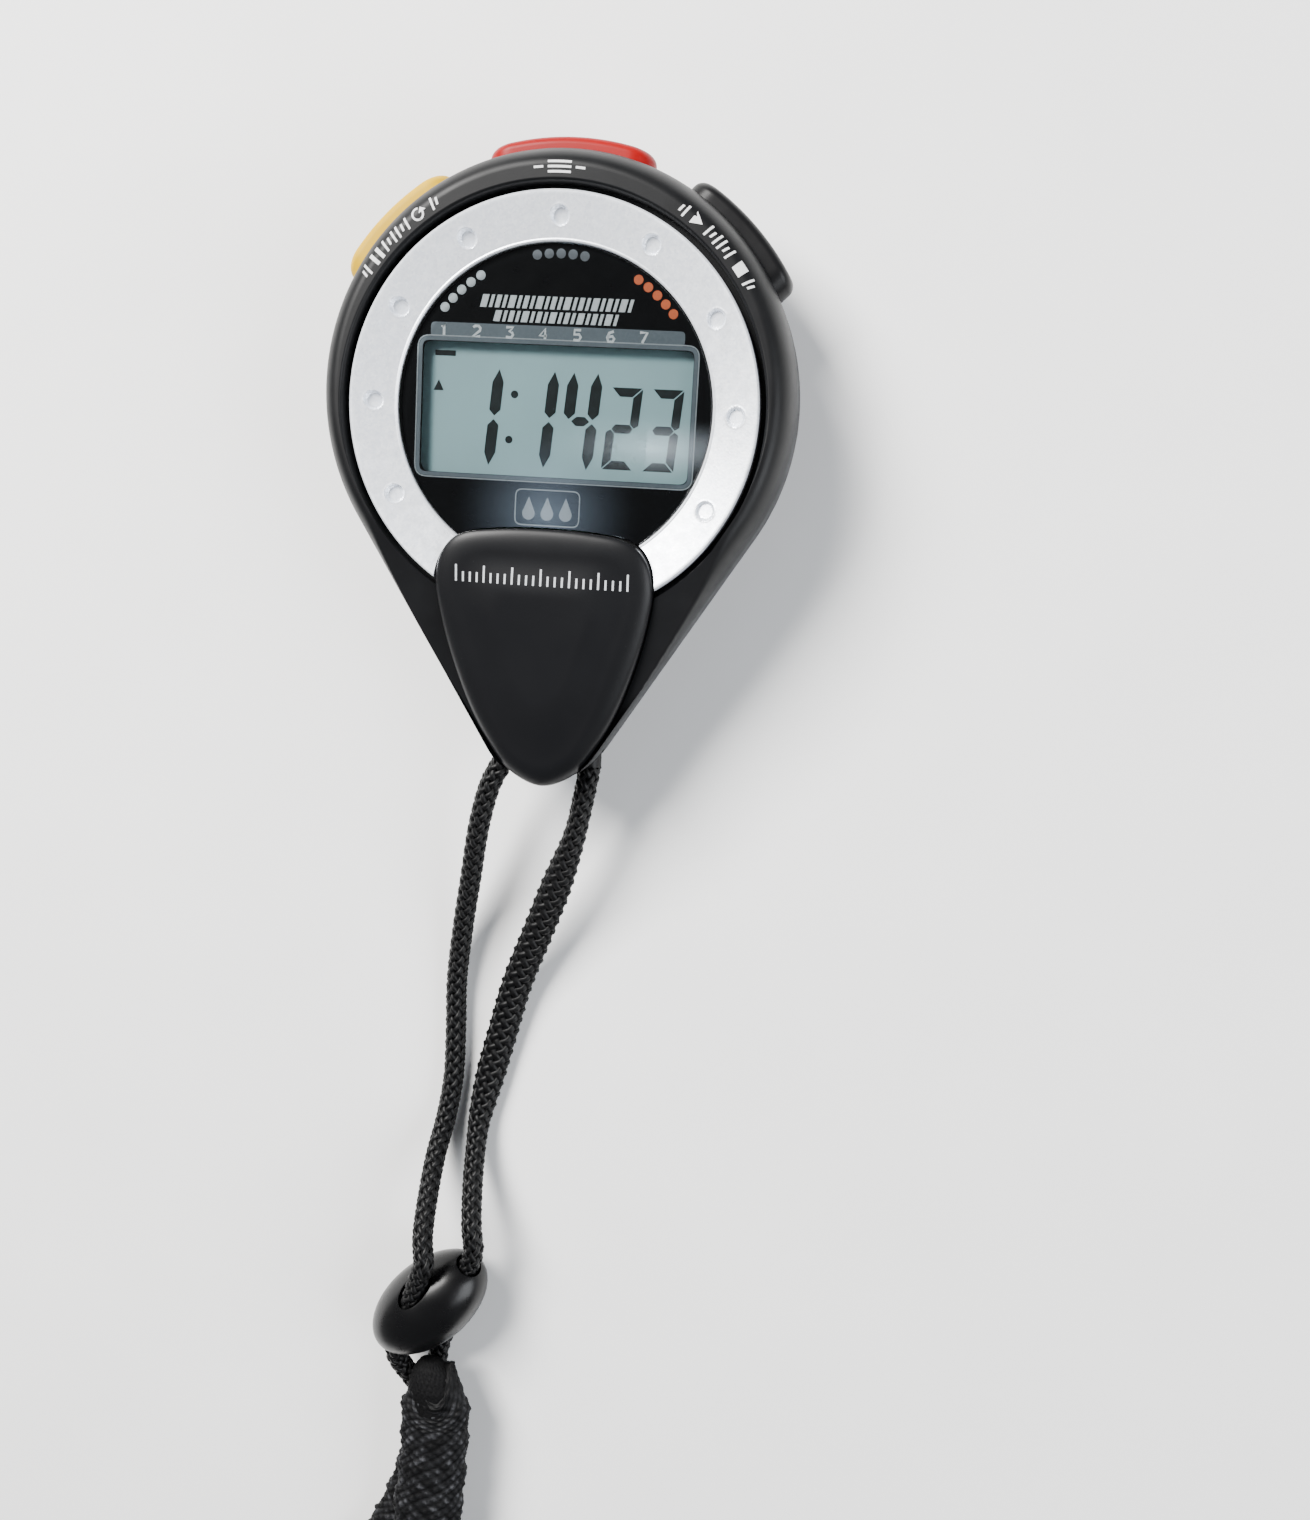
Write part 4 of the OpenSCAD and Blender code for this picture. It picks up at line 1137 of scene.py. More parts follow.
def dial_plate():
    low, high, radius = DIAL_LOW[2], DIAL_TOP, DIAL_HIGH[0]
    obj = put("dial_plate_card", *prism(circle(radius, 180), low, high), dial_finish())
    carve(obj, prism(aperture_line(0, 1.1), low - 1, high + 1), shield_cutter(0.2))
    return finish_piece(obj, "watch", "dial_print", "dial_plate")


PRINT_T = 0.03


def printed(name, shapes, base, mat, slot):
    """Flat printed shapes as one thin mesh."""
    obj = put(name, *joined(*[prism(shape, base, base + PRINT_T) for shape in shapes]), mat, sharp=60)
    return finish_piece(obj, "watch", slot)


def stroke(points, width):
    """A flat line of one width through points, as quads."""
    p = np.asarray(points, float)
    ahead = np.gradient(p, axis=0)
    ahead /= np.linalg.norm(ahead, axis=1)[:, None]
    side = np.stack([-ahead[:, 1], ahead[:, 0]], 1) * width / 2
    return list(map(tuple, p + side)) + list(map(tuple, (p - side)[::-1]))


def box_line(x0, x1, y0, y1):
    return [(x0, y0), (x1, y0), (x1, y1), (x0, y1)]


def frame_line(outline, width):
    """A printed outline of one width, as one quad for each side."""
    p = np.asarray(outline, float)
    n = len(p)
    normals = []
    for i in range(n):
        d = p[(i + 1) % n] - p[i - 1]
        normals.append(np.array([d[1], -d[0]]) / (np.linalg.norm(d) or 1))
    inner = p - np.array(normals) * width
    corners = [(i, (i + 1) % n) for i in range(n)]
    return [[tuple(p[i]), tuple(p[j]), tuple(inner[j]), tuple(inner[i])] for i, j in corners]


SEGMENTS = {"1": "bc", "2": "abged", "3": "abgcd", "4": "fgbc"}


def slanted(char, shapes, x, y, h, slant):
    """The segments of one figure, put in place and leaned to the right."""
    lean = math.tan(math.radians(slant))
    return [[(x + px + (py - h / 2) * lean, y + py) for px, py in counter_clockwise(shapes[part])]
            for part in SEGMENTS[char]]


def digit(char, x, y, w, h, t, slant=5.0):
    """Seven-segment digit whose lower left corner is at x, y."""
    gap = t * 0.1
    top = {
        "a": [(gap, h), (w - gap, h), (w - gap - t, h - t), (gap + t, h - t)],
        "f": [(0, h - gap), (t, h - gap - t), (t, h / 2 + gap + t / 2), (t / 2, h / 2 + gap),
              (0, h / 2 + gap + t / 3)],
    }
    top["b"] = [(w - px, py) for px, py in top["f"]]
    shapes = dict(top)
    for low, high in (("d", "a"), ("e", "f"), ("c", "b")):
        shapes[low] = [(px, h - py) for px, py in top[high]]
    shapes["g"] = [(t * 0.6, h / 2), (t, h / 2 + t / 2), (w - t, h / 2 + t / 2), (w - t * 0.6, h / 2),
                   (w - t, h / 2 - t / 2), (t, h / 2 - t / 2)]
    return slanted(char, shapes, x, y, h, slant)


def bar_digit(char, x, y, w, h, t, slant=5.0):
    """Figure made of pointed bars, as the large figures of the display are."""
    gap, half = t * 0.16, t / 2
    shoulder, foot = h - t * 1.1, h / 2 + half + gap
    upright = [(half, h), (t, shoulder), (t, foot), (half, h / 2 + gap), (0, foot), (0, shoulder)]
    shapes = {"f": upright, "b": [(w - t + px, py) for px, py in upright]}
    shapes["c"] = [(px, h - py) for px, py in shapes["b"]]
    point, corner, rise = t * 0.75, t * 1.2, t * 0.4
    shapes["g"] = [(point, h / 2), (corner, h / 2 + rise), (w - corner, h / 2 + rise), (w - point, h / 2),
                   (w - corner, h / 2 - rise), (corner, h / 2 - rise)]
    return slanted(char, shapes, x, y, h, slant)


def counter_clockwise(points):
    p = np.asarray(points, float)
    q = np.roll(p, -1, axis=0)
    area = (p[:, 0] * q[:, 1] - q[:, 0] * p[:, 1]).sum()
    return [tuple(v) for v in (p if area > 0 else p[::-1])]


def display():
    low, high = LCD_LOW, LCD_HIGH
    outline = box_line(low[0], high[0], low[1], high[1])
    obj = put("lcd_panel_glass", *prism(rounded(outline, 0.4, 4), low[2], high[2]), lcd_finish())
    finish_piece(obj, "watch", "lcd_glass", "lcd_panel")
    shapes = bar_digit("1", -12.35, -7.55, 4.5, 12.5, 1.5)
    shapes += bar_digit("1", -4.85, -7.55, 4.5, 12.5, 1.5)
    shapes += bar_digit("4", 0.75, -7.55, 4.7, 12.5, 1.5)
    shapes += digit("2", 6.65, -7.3, 4.2, 10.6, 1.15)
    shapes += digit("3", 12.1, -7.3, 4.2, 10.6, 1.15)
    shapes += [circle(0.5, 20, (-5.9, 1.8)), circle(0.5, 20, (-6.45, -4.1))]
    shapes.append(box_line(-16.9, -14.1, 6.4, 7.1))
    shapes.append([(-17.0, 1.9), (-15.6, 1.9), (-16.3, 3.3)])
    printed("lcd_digits", shapes, LCD_TOP, segment_finish(), "lcd_glass")


NUMERALS = {
    "1": [(0.2, 0.78), (0.55, 1), (0.55, 0)],
    "2": [(0, 0.85), (0.25, 1), (0.75, 1), (1, 0.8), (0.95, 0.55), (0, 0), (1, 0)],
    "3": [(0, 1), (1, 1), (0.45, 0.58), (0.85, 0.5), (1, 0.28), (0.75, 0), (0, 0.04)],
    "4": [(0.75, 0), (0.75, 1), (0, 0.3), (1, 0.3)],
    "5": [(1, 1), (0.12, 1), (0.08, 0.56), (0.75, 0.58), (1, 0.33), (0.75, 0), (0, 0.03)],
    "6": [(0.9, 1), (0.3, 0.85), (0.02, 0.4), (0.2, 0), (0.8, 0), (1, 0.28), (0.75, 0.54), (0.12, 0.44)],
    "7": [(0, 1), (1, 1), (0.35, 0)],
}


def numeral(char, x, y, w=0.95, h=1.3):
    return stroke([(x + (px - 0.5) * w, y + (py - 0.5) * h) for px, py in NUMERALS[char]], 0.34)


def dial_prints():
    pale = ink("pale ink", (0.66, 0.69, 0.72))
    slate = ink("slate ink", (0.1, 0.125, 0.15))
    edge = ink("pale slate ink", (0.3, 0.33, 0.36))
    band = aperture_line(0.55, 1.5)
    printed("dial_frame_outline", frame_line(aperture_line(0.75, 1.7), 0.16), DIAL_TOP, edge, "dial_print")
    printed("dial_frame_band", frame_line(band, 0.5), DIAL_TOP, slate, "dial_print")
    bar_shape = rounded(box_line(-17.0, 16.7, 8.6, 10.5), 0.6, 5)
    printed("dial_header_bar", [bar_shape], DIAL_TOP - 0.004, slate, "dial_print")
    days = []
    for k, x in enumerate((-15.25, -10.8, -6.4, -1.9, 2.6, 7.0, 11.3)):
        days.append(numeral(str(k + 1), x, 9.5))
    printed("dial_day_numbers", days, DIAL_TOP + 0.012, pale, "dial_print")
    lean = math.tan(math.radians(14))
    dashes = []
    for y, h, x_end in ((13.4, 1.6, 10.3), (11.55, 1.4, 8.5)):
        x, k = -x_end, 0
        while x < x_end - 0.5:
            width = (0.85, 0.42, 0.62, 0.42)[k % 4]
            dashes.append([(x - h / 2 * lean, y - h / 2), (x + width - h / 2 * lean, y - h / 2),
                           (x + width + h / 2 * lean, y + h / 2), (x + h / 2 * lean, y + h / 2)])
            x, k = x + width + 0.34, k + 1
    printed("dial_title_dashes", dashes, DIAL_TOP, pale, "dial_print")
    lines = frame_line(rounded(box_line(-4.8, 4.0, -15.2, -10.4), 1.0, 6), 0.16)
    for x in (-2.9, -0.4, 2.1):
        turns = np.radians(np.linspace(150, 390, 15))
        drop = [(x + 0.85 * math.cos(a), -13.6 + 0.85 * math.sin(a)) for a in turns] + [(x, -11.4)]
        lines.append(drop)
    printed("dial_seal_mark", lines, DIAL_TOP, edge, "dial_print")


def dots_tree():
    """Round dots spread over an arc, from the arc's middle angle."""
    tree = bpy.data.node_groups.new("dots", "GeometryNodeTree")
    face = tree.interface
    face.new_socket("Source", in_out="INPUT", socket_type="NodeSocketGeometry")
    face.new_socket("Count", in_out="INPUT", socket_type="NodeSocketInt")
    for name in ("Arc Radius", "Middle Angle", "Sweep", "Dot Radius", "Height", "Thickness"):
        face.new_socket(name, in_out="INPUT", socket_type="NodeSocketFloat")
    face.new_socket("Finish", in_out="INPUT", socket_type="NodeSocketMaterial")
    face.new_socket("Mesh", in_out="OUTPUT", socket_type="NodeSocketGeometry")
    nodes, links = tree.nodes, tree.links
    given = nodes.new("NodeGroupInput").outputs
    result = nodes.new("NodeGroupOutput").inputs
    arc = nodes.new("GeometryNodeCurveArc")
    links.new(given["Count"], arc.inputs["Resolution"])
    links.new(given["Arc Radius"], arc.inputs["Radius"])
    links.new(given["Sweep"], arc.inputs["Sweep Angle"])
    half = nodes.new("ShaderNodeMath")
    half.operation = "MULTIPLY_ADD"
    links.new(given["Sweep"], half.inputs[0])
    half.inputs[1].default_value = -0.5
    links.new(given["Middle Angle"], half.inputs[2])
    links.new(half.outputs[0], arc.inputs["Start Angle"])
    dot = nodes.new("GeometryNodeMeshCylinder")
    dot.inputs["Vertices"].default_value = 36
    links.new(given["Dot Radius"], dot.inputs["Radius"])
    links.new(given["Thickness"], dot.inputs["Depth"])
    spread = nodes.new("GeometryNodeInstanceOnPoints")
    points = nodes.new("GeometryNodeCurveToPoints")
    points.mode = "EVALUATED"
    links.new(arc.outputs["Curve"], points.inputs["Curve"])
    links.new(points.outputs["Points"], spread.inputs["Points"])
    links.new(dot.outputs["Mesh"], spread.inputs["Instance"])
    real = nodes.new("GeometryNodeRealizeInstances")
    links.new(spread.outputs[0], real.inputs[0])
    lift = nodes.new("GeometryNodeTransform")
    height = nodes.new("ShaderNodeCombineXYZ")
    links.new(given["Height"], height.inputs[2])
    links.new(real.outputs[0], lift.inputs["Geometry"])
    links.new(height.outputs[0], lift.inputs["Translation"])
    coat = nodes.new("GeometryNodeSetMaterial")
    links.new(lift.outputs[0], coat.inputs["Geometry"])
    links.new(given["Finish"], coat.inputs["Material"])
    links.new(coat.outputs[0], result[0])
    return tree


def blank(name):
    obj = bpy.data.objects.new(name, bpy.data.meshes.new(name))
    bpy.context.scene.collection.objects.link(obj)
    return obj


def dial_dots():
    """Three rows of five dots at the edge of the dial, one for each button."""
    tree = dots_tree()
    radius, pitch, count = 19.6, 1.57, 5
    groups = (("dots_mode", 90, ink("dim ink", (0.1, 0.11, 0.13))),
              ("dots_split", 131.6, ink("silver ink", (0.42, 0.45, 0.48))),
              ("dots_start", 49.2, ink("orange ink", (0.75, 0.13, 0.025))))
    for name, angle, mat in groups:
        source = blank(name + "_source")
        mesh = run_tree(source, tree, Count=count, Arc_Radius=radius * MM, Middle_Angle=math.radians(angle),
                        Sweep=(count - 1) * pitch / radius, Dot_Radius=0.62 * MM,
                        Height=(DIAL_TOP + PRINT_T / 2) * MM, Thickness=PRINT_T * MM, Finish=mat)
        bpy.data.objects.remove(source)
        obj = bpy.data.objects.new(name, mesh)
        bpy.context.scene.collection.objects.link(obj)
        finish_piece(obj, "watch", "dial_print")


# ---------------------------------------------------------------- marks on the rim
def rim_height(x, y):
    """Height of the rim over a point beside the groove."""
    inset = CASE_R - math.hypot(x, y - CASE_Y)
    groove = (RING_R + GROOVE + 0.45 - math.hypot(x, y)) / 0.45
    if groove > 0:
        return RIM_Z - 0.8 * (1 - math.sqrt(max(0, 1 - min(1, groove) ** 2)))
    if inset > RIM_IN:
        return RIM_Z
    return RIM_Z - RIM_TALL + RIM_TALL * math.sin(math.acos(1 - inset / RIM_IN))


def rim_patch(angle, corners, steps=6):
    """A thin quad on the rim; corners are (distance along the rim, distance outwards) from its middle."""
    middle_r = 29.6
    c = np.asarray(corners, float)
    grid = []
    n = max(2, int(abs(c[1, 0] - c[0, 0]) / 0.25) + 2)
    for j in range(steps + 1):
        for i in range(n + 1):
            u, v = i / n, j / steps
            s, out = (c[0] * (1 - u) + c[1] * u) * (1 - v) + (c[3] * (1 - u) + c[2] * u) * v
            r = middle_r + out
            a = math.radians(angle) - s / middle_r
            x, y = r * math.cos(a), r * math.sin(a)
            grid.append((x, y, rim_height(x, y)))
    low = np.array(grid) - [0, 0, 0.02]
    high = np.array(grid) + [0, 0, 0.035]
    m = n + 1
    total = len(grid)
    faces = []
    for j in range(steps):
        for i in range(n):
            q = (j * m + i, j * m + i + 1, (j + 1) * m + i + 1, (j + 1) * m + i)
            faces.append(tuple(k + total for k in q))
            faces.append(q[::-1])
    edge = [i for i in range(m)] + [(j + 1) * m - 1 for j in range(1, steps + 1)]
    edge += [steps * m + i for i in range(n - 1, -1, -1)] + [j * m for j in range(steps - 1, 0, -1)]
    for a, b in zip(edge, edge[1:] + edge[:1]):
        faces.append((a, b, b + total, a + total))
    return np.concatenate([low, high]), faces


def rim_marks():
    """White marks beside the buttons: a list for the modes, a lap and a return arrow, and start and stop."""
    white = ink("white ink", (0.72, 0.72, 0.72))
    solids = []
    for out in (-0.62, 0, 0.62):
        solids.append(rim_patch(90, box_line(-1.5, 1.5, out - 0.14, out + 0.14), 2))
    for side in (-1, 1):
        a, b = sorted((side * 2.1, side * 3.3))
        solids.append(rim_patch(90, [(a, -0.14), (b, -0.14), (b, 0.14), (a, 0.14)], 2))
    for x in (-4.7, -3.6):
        solids.append(rim_patch(135, [(x, -0.85), (x + 0.5, -0.85), (x + 0.5, 0.85), (x, 0.85)]))
    mid, size = 3.6, 0.72
    turns = np.radians(np.linspace(60, 360, 21))
    for a, b in zip(turns, turns[1:]):
        edges = ((a, 0.13), (b, 0.13), (b, -0.13), (a, -0.13))
        ring = [((size + w) * math.cos(t), (size + w) * math.sin(t)) for t, w in edges]
        solids.append(rim_patch(135, [(mid + x, y) for x, y in ring], 1))
    arrow = [(mid + 0.2, 0), (mid + 1.25, 0), (mid + 0.72, 0.62), (mid + 0.72, 0.62)]
    solids.append(rim_patch(135, arrow, 3))
    solids.append(rim_patch(45, [(-4.8, -0.85), (-4.79, 0.85), (-3.3, 0.02), (-3.3, -0.02)]))
    solids.append(rim_patch(45, [(3.2, -0.75), (4.7, -0.75), (4.7, 0.75), (3.2, 0.75)]))
    for angle in (45, 135):
        for k, a in enumerate((-6.9, -6.2, -2.5, -1.7, -0.9, -0.1, 0.7, 1.5, 5.6, 6.3)):
            tall = 0.8 if k % 3 else 0.45
            dash = [(a, -tall), (a + 0.3, -tall), (a + 0.5, tall), (a + 0.2, tall)]
            solids.append(rim_patch(angle, dash, 4))
    obj = put("rim_marks", *joined(*solids), white, sharp=60)
    finish_piece(obj, "watch", "dial_print")


# ---------------------------------------------------------------- shield
def shield_top(outline, share, crown):
    y = outline[:, 1]
    return face_plane(y) + crown + share * shield_rise(y)


def shield():
    """Pillow-shaped badge with a wide rounding, glued in its pocket."""
    rim = shield_outline(0)
    rings = [level(rim, face_plane(rim[:, 1]) - SHIELD_SINK + 0.02), level(rim, face_plane(rim[:, 1])),
             level(rim, shield_top(rim, 0.2, 0))]
    for d in 1 - np.cos(np.linspace(0.02, math.pi / 2, 22)):
        line = shield_outline(-d * SHIELD_ROUND)
        rings.append(level(line, shield_top(line, 0.26 + 0.74 * math.sqrt(1 - (1 - d) ** 2), 0)))
    inner = shield_outline(-SHIELD_ROUND)
    for e in np.linspace(0, 0.999, 30)[1:]:
        line = SHIELD_MID + (inner - SHIELD_MID) * (1 - e)
        u = min(1, e / 0.5)
        rings.append(level(line, shield_top(line, 1, SHIELD_CROWN * u * u * (3 - 2 * u))))
    obj = put("shield_badge", *loft(rings), shield_finish(), sharp=50)
    finish_piece(obj, "watch", "shield_plastic", "shield")


def shield_mark():
    """Row of plain tick marks printed across the shield."""
    pale = ink("badge ink", (0.5, 0.52, 0.54))
    y0, solids = -22.9, []
    for k, x in enumerate(np.linspace(-11.5, 11.5, 25)):
        tall = 2.2 if k % 4 == 0 else 1.3
        for shape in [[(x - 0.13, y0), (x + 0.13, y0), (x + 0.13, y0 + tall), (x - 0.13, y0 + tall)]]:
            line = np.array(shape)
            top = badge_height(line)
            solids.append(loft([level(line, top - 0.02), level(line, top + 0.03)]))
    finish_piece(put("shield_ticks", *joined(*solids), pale, sharp=60), "watch", "dial_print")


def badge_height(points):
    """Height of the shield's face at points well inside its rounding."""
    out = points - SHIELD_MID
    rim = shield_outline(-SHIELD_ROUND, 0.25) - SHIELD_MID
    turn = np.unwrap(np.arctan2(rim[:, 1], rim[:, 0]))
    order = np.argsort(np.mod(turn, 2 * math.pi))
    reach = np.interp(np.mod(np.arctan2(out[:, 1], out[:, 0]), 2 * math.pi),
                      np.mod(turn, 2 * math.pi)[order], np.linalg.norm(rim, axis=1)[order])
    e = np.clip(1 - np.linalg.norm(out, axis=1) / reach, 0, 1)
    u = np.minimum(1, e / 0.5)
    return shield_top(points, 1, SHIELD_CROWN * u * u * (3 - 2 * u))


# ---------------------------------------------------------------- buttons
def buttons():
    tints = {"red_plastic": button_finish("red plastic", (0.25, 0.0012, 0.002)),
             "yellow_plastic": button_finish("yellow plastic", (0.6, 0.36, 0.0), 0.5),
             "black_plastic": button_finish("black plastic", (0.0055, 0.0055, 0.006), 0.36)}
    inner = BLOCK_R
    for node, body, angle, half, slot in BUTTONS:
        edge_in, edge_out = 1.25, 1.1
        rows = [(0, CAP_IN), (0, CAP_R - edge_out)]
        rows += [(edge_in * (1 - math.cos(t)), CAP_R - edge_out * (1 - math.sin(t)))
                 for t in np.linspace(0, math.pi / 2, 12)[1:]]
        rows += [(edge_in + (CAP_H / 2 - edge_in) * s, CAP_R) for s in (0.2, 0.45, 0.7, 0.999)]
        cap = pill_rows(half, CAP_H, [((CAP_H / 2) * 0.999, CAP_IN)] + rows)
        solid = moved(loft(cap), on_button(angle))
        clip = inner - 0.6
        stem = bar([(22.6, 0.9), (22.8, 1.1), (clip, 1.1), (clip, 0.8), (clip + 0.5, 0.8),
                    (clip + 0.5, 1.1), (CAP_IN + 0.8, 1.1)],
                   angle)
        obj = put(node + "_cap", *joined(solid, stem), tints[slot], sharp=40)
        finish_piece(obj, body, slot, node)


# ---------------------------------------------------------------- lanyard pieces
BEAD_AT = np.array([-15.8, -134.5, 6.4])
BEAD_A, BEAD_R, BEAD_HOLE = 10.7, 6.3, 2.0
BEAD_TURN, BEAD_CORD_TURN, BEAD_CORD_TILT = 44, -18, 16
BEAD_HOLES = [(-2.4, 3.3), (3.6, -1.3)]


def slider_bead():
    """Turned oval bead with two cord holes whose edges are rounded."""
    arc = np.linspace(-math.pi / 2, math.pi / 2, 60)
    profile = [(BEAD_R * math.cos(a), BEAD_A * math.sin(a)) for a in arc]
    turns = np.linspace(0, 2 * math.pi, 96, endpoint=False)
    rings = [[(h, r * math.cos(a), r * math.sin(a)) for a in turns] for r, h in profile]
    place = Matrix.Translation(BEAD_AT) @ Matrix.Rotation(math.radians(BEAD_TURN), 4, "Z")
    obj = put("slider_bead_body", *moved(loft(rings), place), bead_finish())
    way = Matrix.Translation(BEAD_AT) @ Matrix.Rotation(math.radians(BEAD_CORD_TURN), 4, "Z")
    way = way @ Matrix.Rotation(math.radians(BEAD_CORD_TILT), 4, "X")
    for x, z in BEAD_HOLES:
        ring = [[(x + BEAD_HOLE * math.cos(a), y, z + BEAD_HOLE * math.sin(a))
                 for a in np.linspace(0, 2 * math.pi, 56, endpoint=False)] for y in (-20, 20)]
        carve(obj, moved(loft(ring), way))
    round_edge = obj.modifiers.new("round", "BEVEL")
    round_edge.width = 0.35 * MM
    round_edge.segments = 3
    round_edge.limit_method = "ANGLE"
    round_edge.angle_limit = math.radians(35)
    bake(obj)
    smooth(obj.data, 40)
    finish_piece(obj, "bead", "bead_gloss", "slider_bead")


def strap_mouth():
    """Sewn end of the strap: a dark tongue that swallows the ends of the thin cords."""
    # the middle of each cross-section, then its half width and half thickness
    line = np.array([
        (-15.5, -143.9, 5.9, 0.5, 0.35), (-15.4, -144.3, 6.0, 1.6, 0.95), (-15.1, -145.5, 6.3, 2.8, 1.7),
        (-14.8, -147.0, 6.6, 3.6, 2.0), (-14.5, -148.6, 6.9, 4.0, 2.1), (-14.3, -152.4, 7.0, 4.0, 2.0),
    ])
    steps = np.linspace(0, len(line) - 1, 40)
    rows = np.stack([np.interp(steps, np.arange(len(line)), line[:, k]) for k in range(5)], 1)
    rings = []
    for x, y, z, wide, thick in rows:
        ring = []
        for a in np.linspace(0, 2 * math.pi, 120, endpoint=False):
            weave = 0.13 * abs(math.sin(a * 14 + y * 2.2)) * abs(math.sin(a * 14 - y * 2.2))
            ring.append((x + (wide + weave) * math.cos(a), y, z + (thick + weave) * math.sin(a)))
        rings.append(ring)
    obj = put("strap_mouth_sewn", *loft(rings), tie_finish(), 60)
    finish_piece(obj, "watch", "strap_braid", "strap_mouth")
    return obj


def tie_finish():
    f = Finish("tie fabric", (0.004, 0.004, 0.0043), 0.7, IOR=1.45, Specular_IOR_Level=0.1)
    fibres = f.noise(3000, 4)
    f.paint("Base Color", f.ramp(fibres, (0.3, (0.001, 0.001, 0.0011)), (0.75, (0.005, 0.005, 0.0054))))
    f.bump(f.cells(3500), 0.6, 0.00005)
    return f.mat


def strap_tie():
    """Band of hook-and-loop tape round the two layers of the hank."""
    y = HANK_LOW - HANK_R
    half_w, top, band = STRAP_W / 2 + 0.5, LAYER_HIGH + STRAP_T / 2 + 0.15, 0.6
    outer = rounded(box_line(y - half_w - band, y + half_w + band, 0, top + band), 1.6, 7)
    inner = rounded(box_line(y - half_w, y + half_w, band, top), 1.1, 7)
    x0, x1 = HANK_X - 3.5, HANK_X + 3.5
    sections = ((x0, outer), (x1, outer), (x1, inner), (x0, inner))
    rings = [[(x, p[0], p[1]) for p in line] for x, line in sections]
    obj = put("strap_tie_band", *loft(rings, caps=False, loop=True), tie_finish())
    finish_piece(obj, "watch", "tie_fabric", "strap_tie")
    return obj


def screws_tree():
    """Instances of one screw on the points of a mesh."""
    tree = bpy.data.node_groups.new("screws", "GeometryNodeTree")
    face = tree.interface
    face.new_socket("Spots", in_out="INPUT", socket_type="NodeSocketGeometry")
    face.new_socket("Screw", in_out="INPUT", socket_type="NodeSocketObject")
    face.new_socket("Turn Seed", in_out="INPUT", socket_type="NodeSocketInt")
    face.new_socket("Finish", in_out="INPUT", socket_type="NodeSocketMaterial")
    face.new_socket("Mesh", in_out="OUTPUT", socket_type="NodeSocketGeometry")
    nodes, links = tree.nodes, tree.links
    given = nodes.new("NodeGroupInput").outputs
    result = nodes.new("NodeGroupOutput").inputs
    info = nodes.new("GeometryNodeObjectInfo")
    links.new(given["Screw"], info.inputs["Object"])
    turn = nodes.new("FunctionNodeRandomValue")
    turn.data_type = "FLOAT_VECTOR"
    turn.inputs["Max"].default_value = (0, 0, 6.28)
    links.new(given["Turn Seed"], turn.inputs["Seed"])
    place = nodes.new("GeometryNodeInstanceOnPoints")
    links.new(given["Spots"], place.inputs["Points"])
    links.new(info.outputs["Geometry"], place.inputs["Instance"])
    links.new(turn.outputs[0], place.inputs["Rotation"])
    real = nodes.new("GeometryNodeRealizeInstances")
    links.new(place.outputs[0], real.inputs[0])
    coat = nodes.new("GeometryNodeSetMaterial")
    links.new(real.outputs[0], coat.inputs["Geometry"])
    links.new(given["Finish"], coat.inputs["Material"])
    links.new(coat.outputs[0], result[0])
    return tree


def case_screws():
    steel = metal_finish("screw steel", (0.5, 0.5, 0.52), 0.32)
    low, high = node_box("case_screws")
    head, shank = 2.0, 1.0
    profile = [(0.01, low[2]), (head - 0.3, low[2]), (head, low[2] + 0.35), (head, low[2] + 1.6),
               (shank, low[2] + 1.6),
               (shank, high[2]), (0.01, high[2])]
    screw = put("screw_master", *lathe(profile, 48), steel)
    for a in (0, 90):
        slot = prism(rounded(box_line(-1.25, 1.25, -0.26, 0.26), 0.2, 3), low[2] - 1, low[2] + 0.8)
        carve(screw, moved(slot, Matrix.Rotation(math.radians(a), 4, "Z")))
    spots = put("screw_spots", [(x, y, 0) for x, y in SCREWS], [], steel)
    mesh = run_tree(spots, screws_tree(), Screw=screw, Turn_Seed=4, Finish=steel)
    for obj in (screw, spots):
        bpy.data.objects.remove(obj)
    obj = bpy.data.objects.new("case_screw_set", mesh)
    bpy.context.scene.collection.objects.link(obj)
    smooth(mesh, 35)
    finish_piece(obj, "watch", "steel", "case_screws")


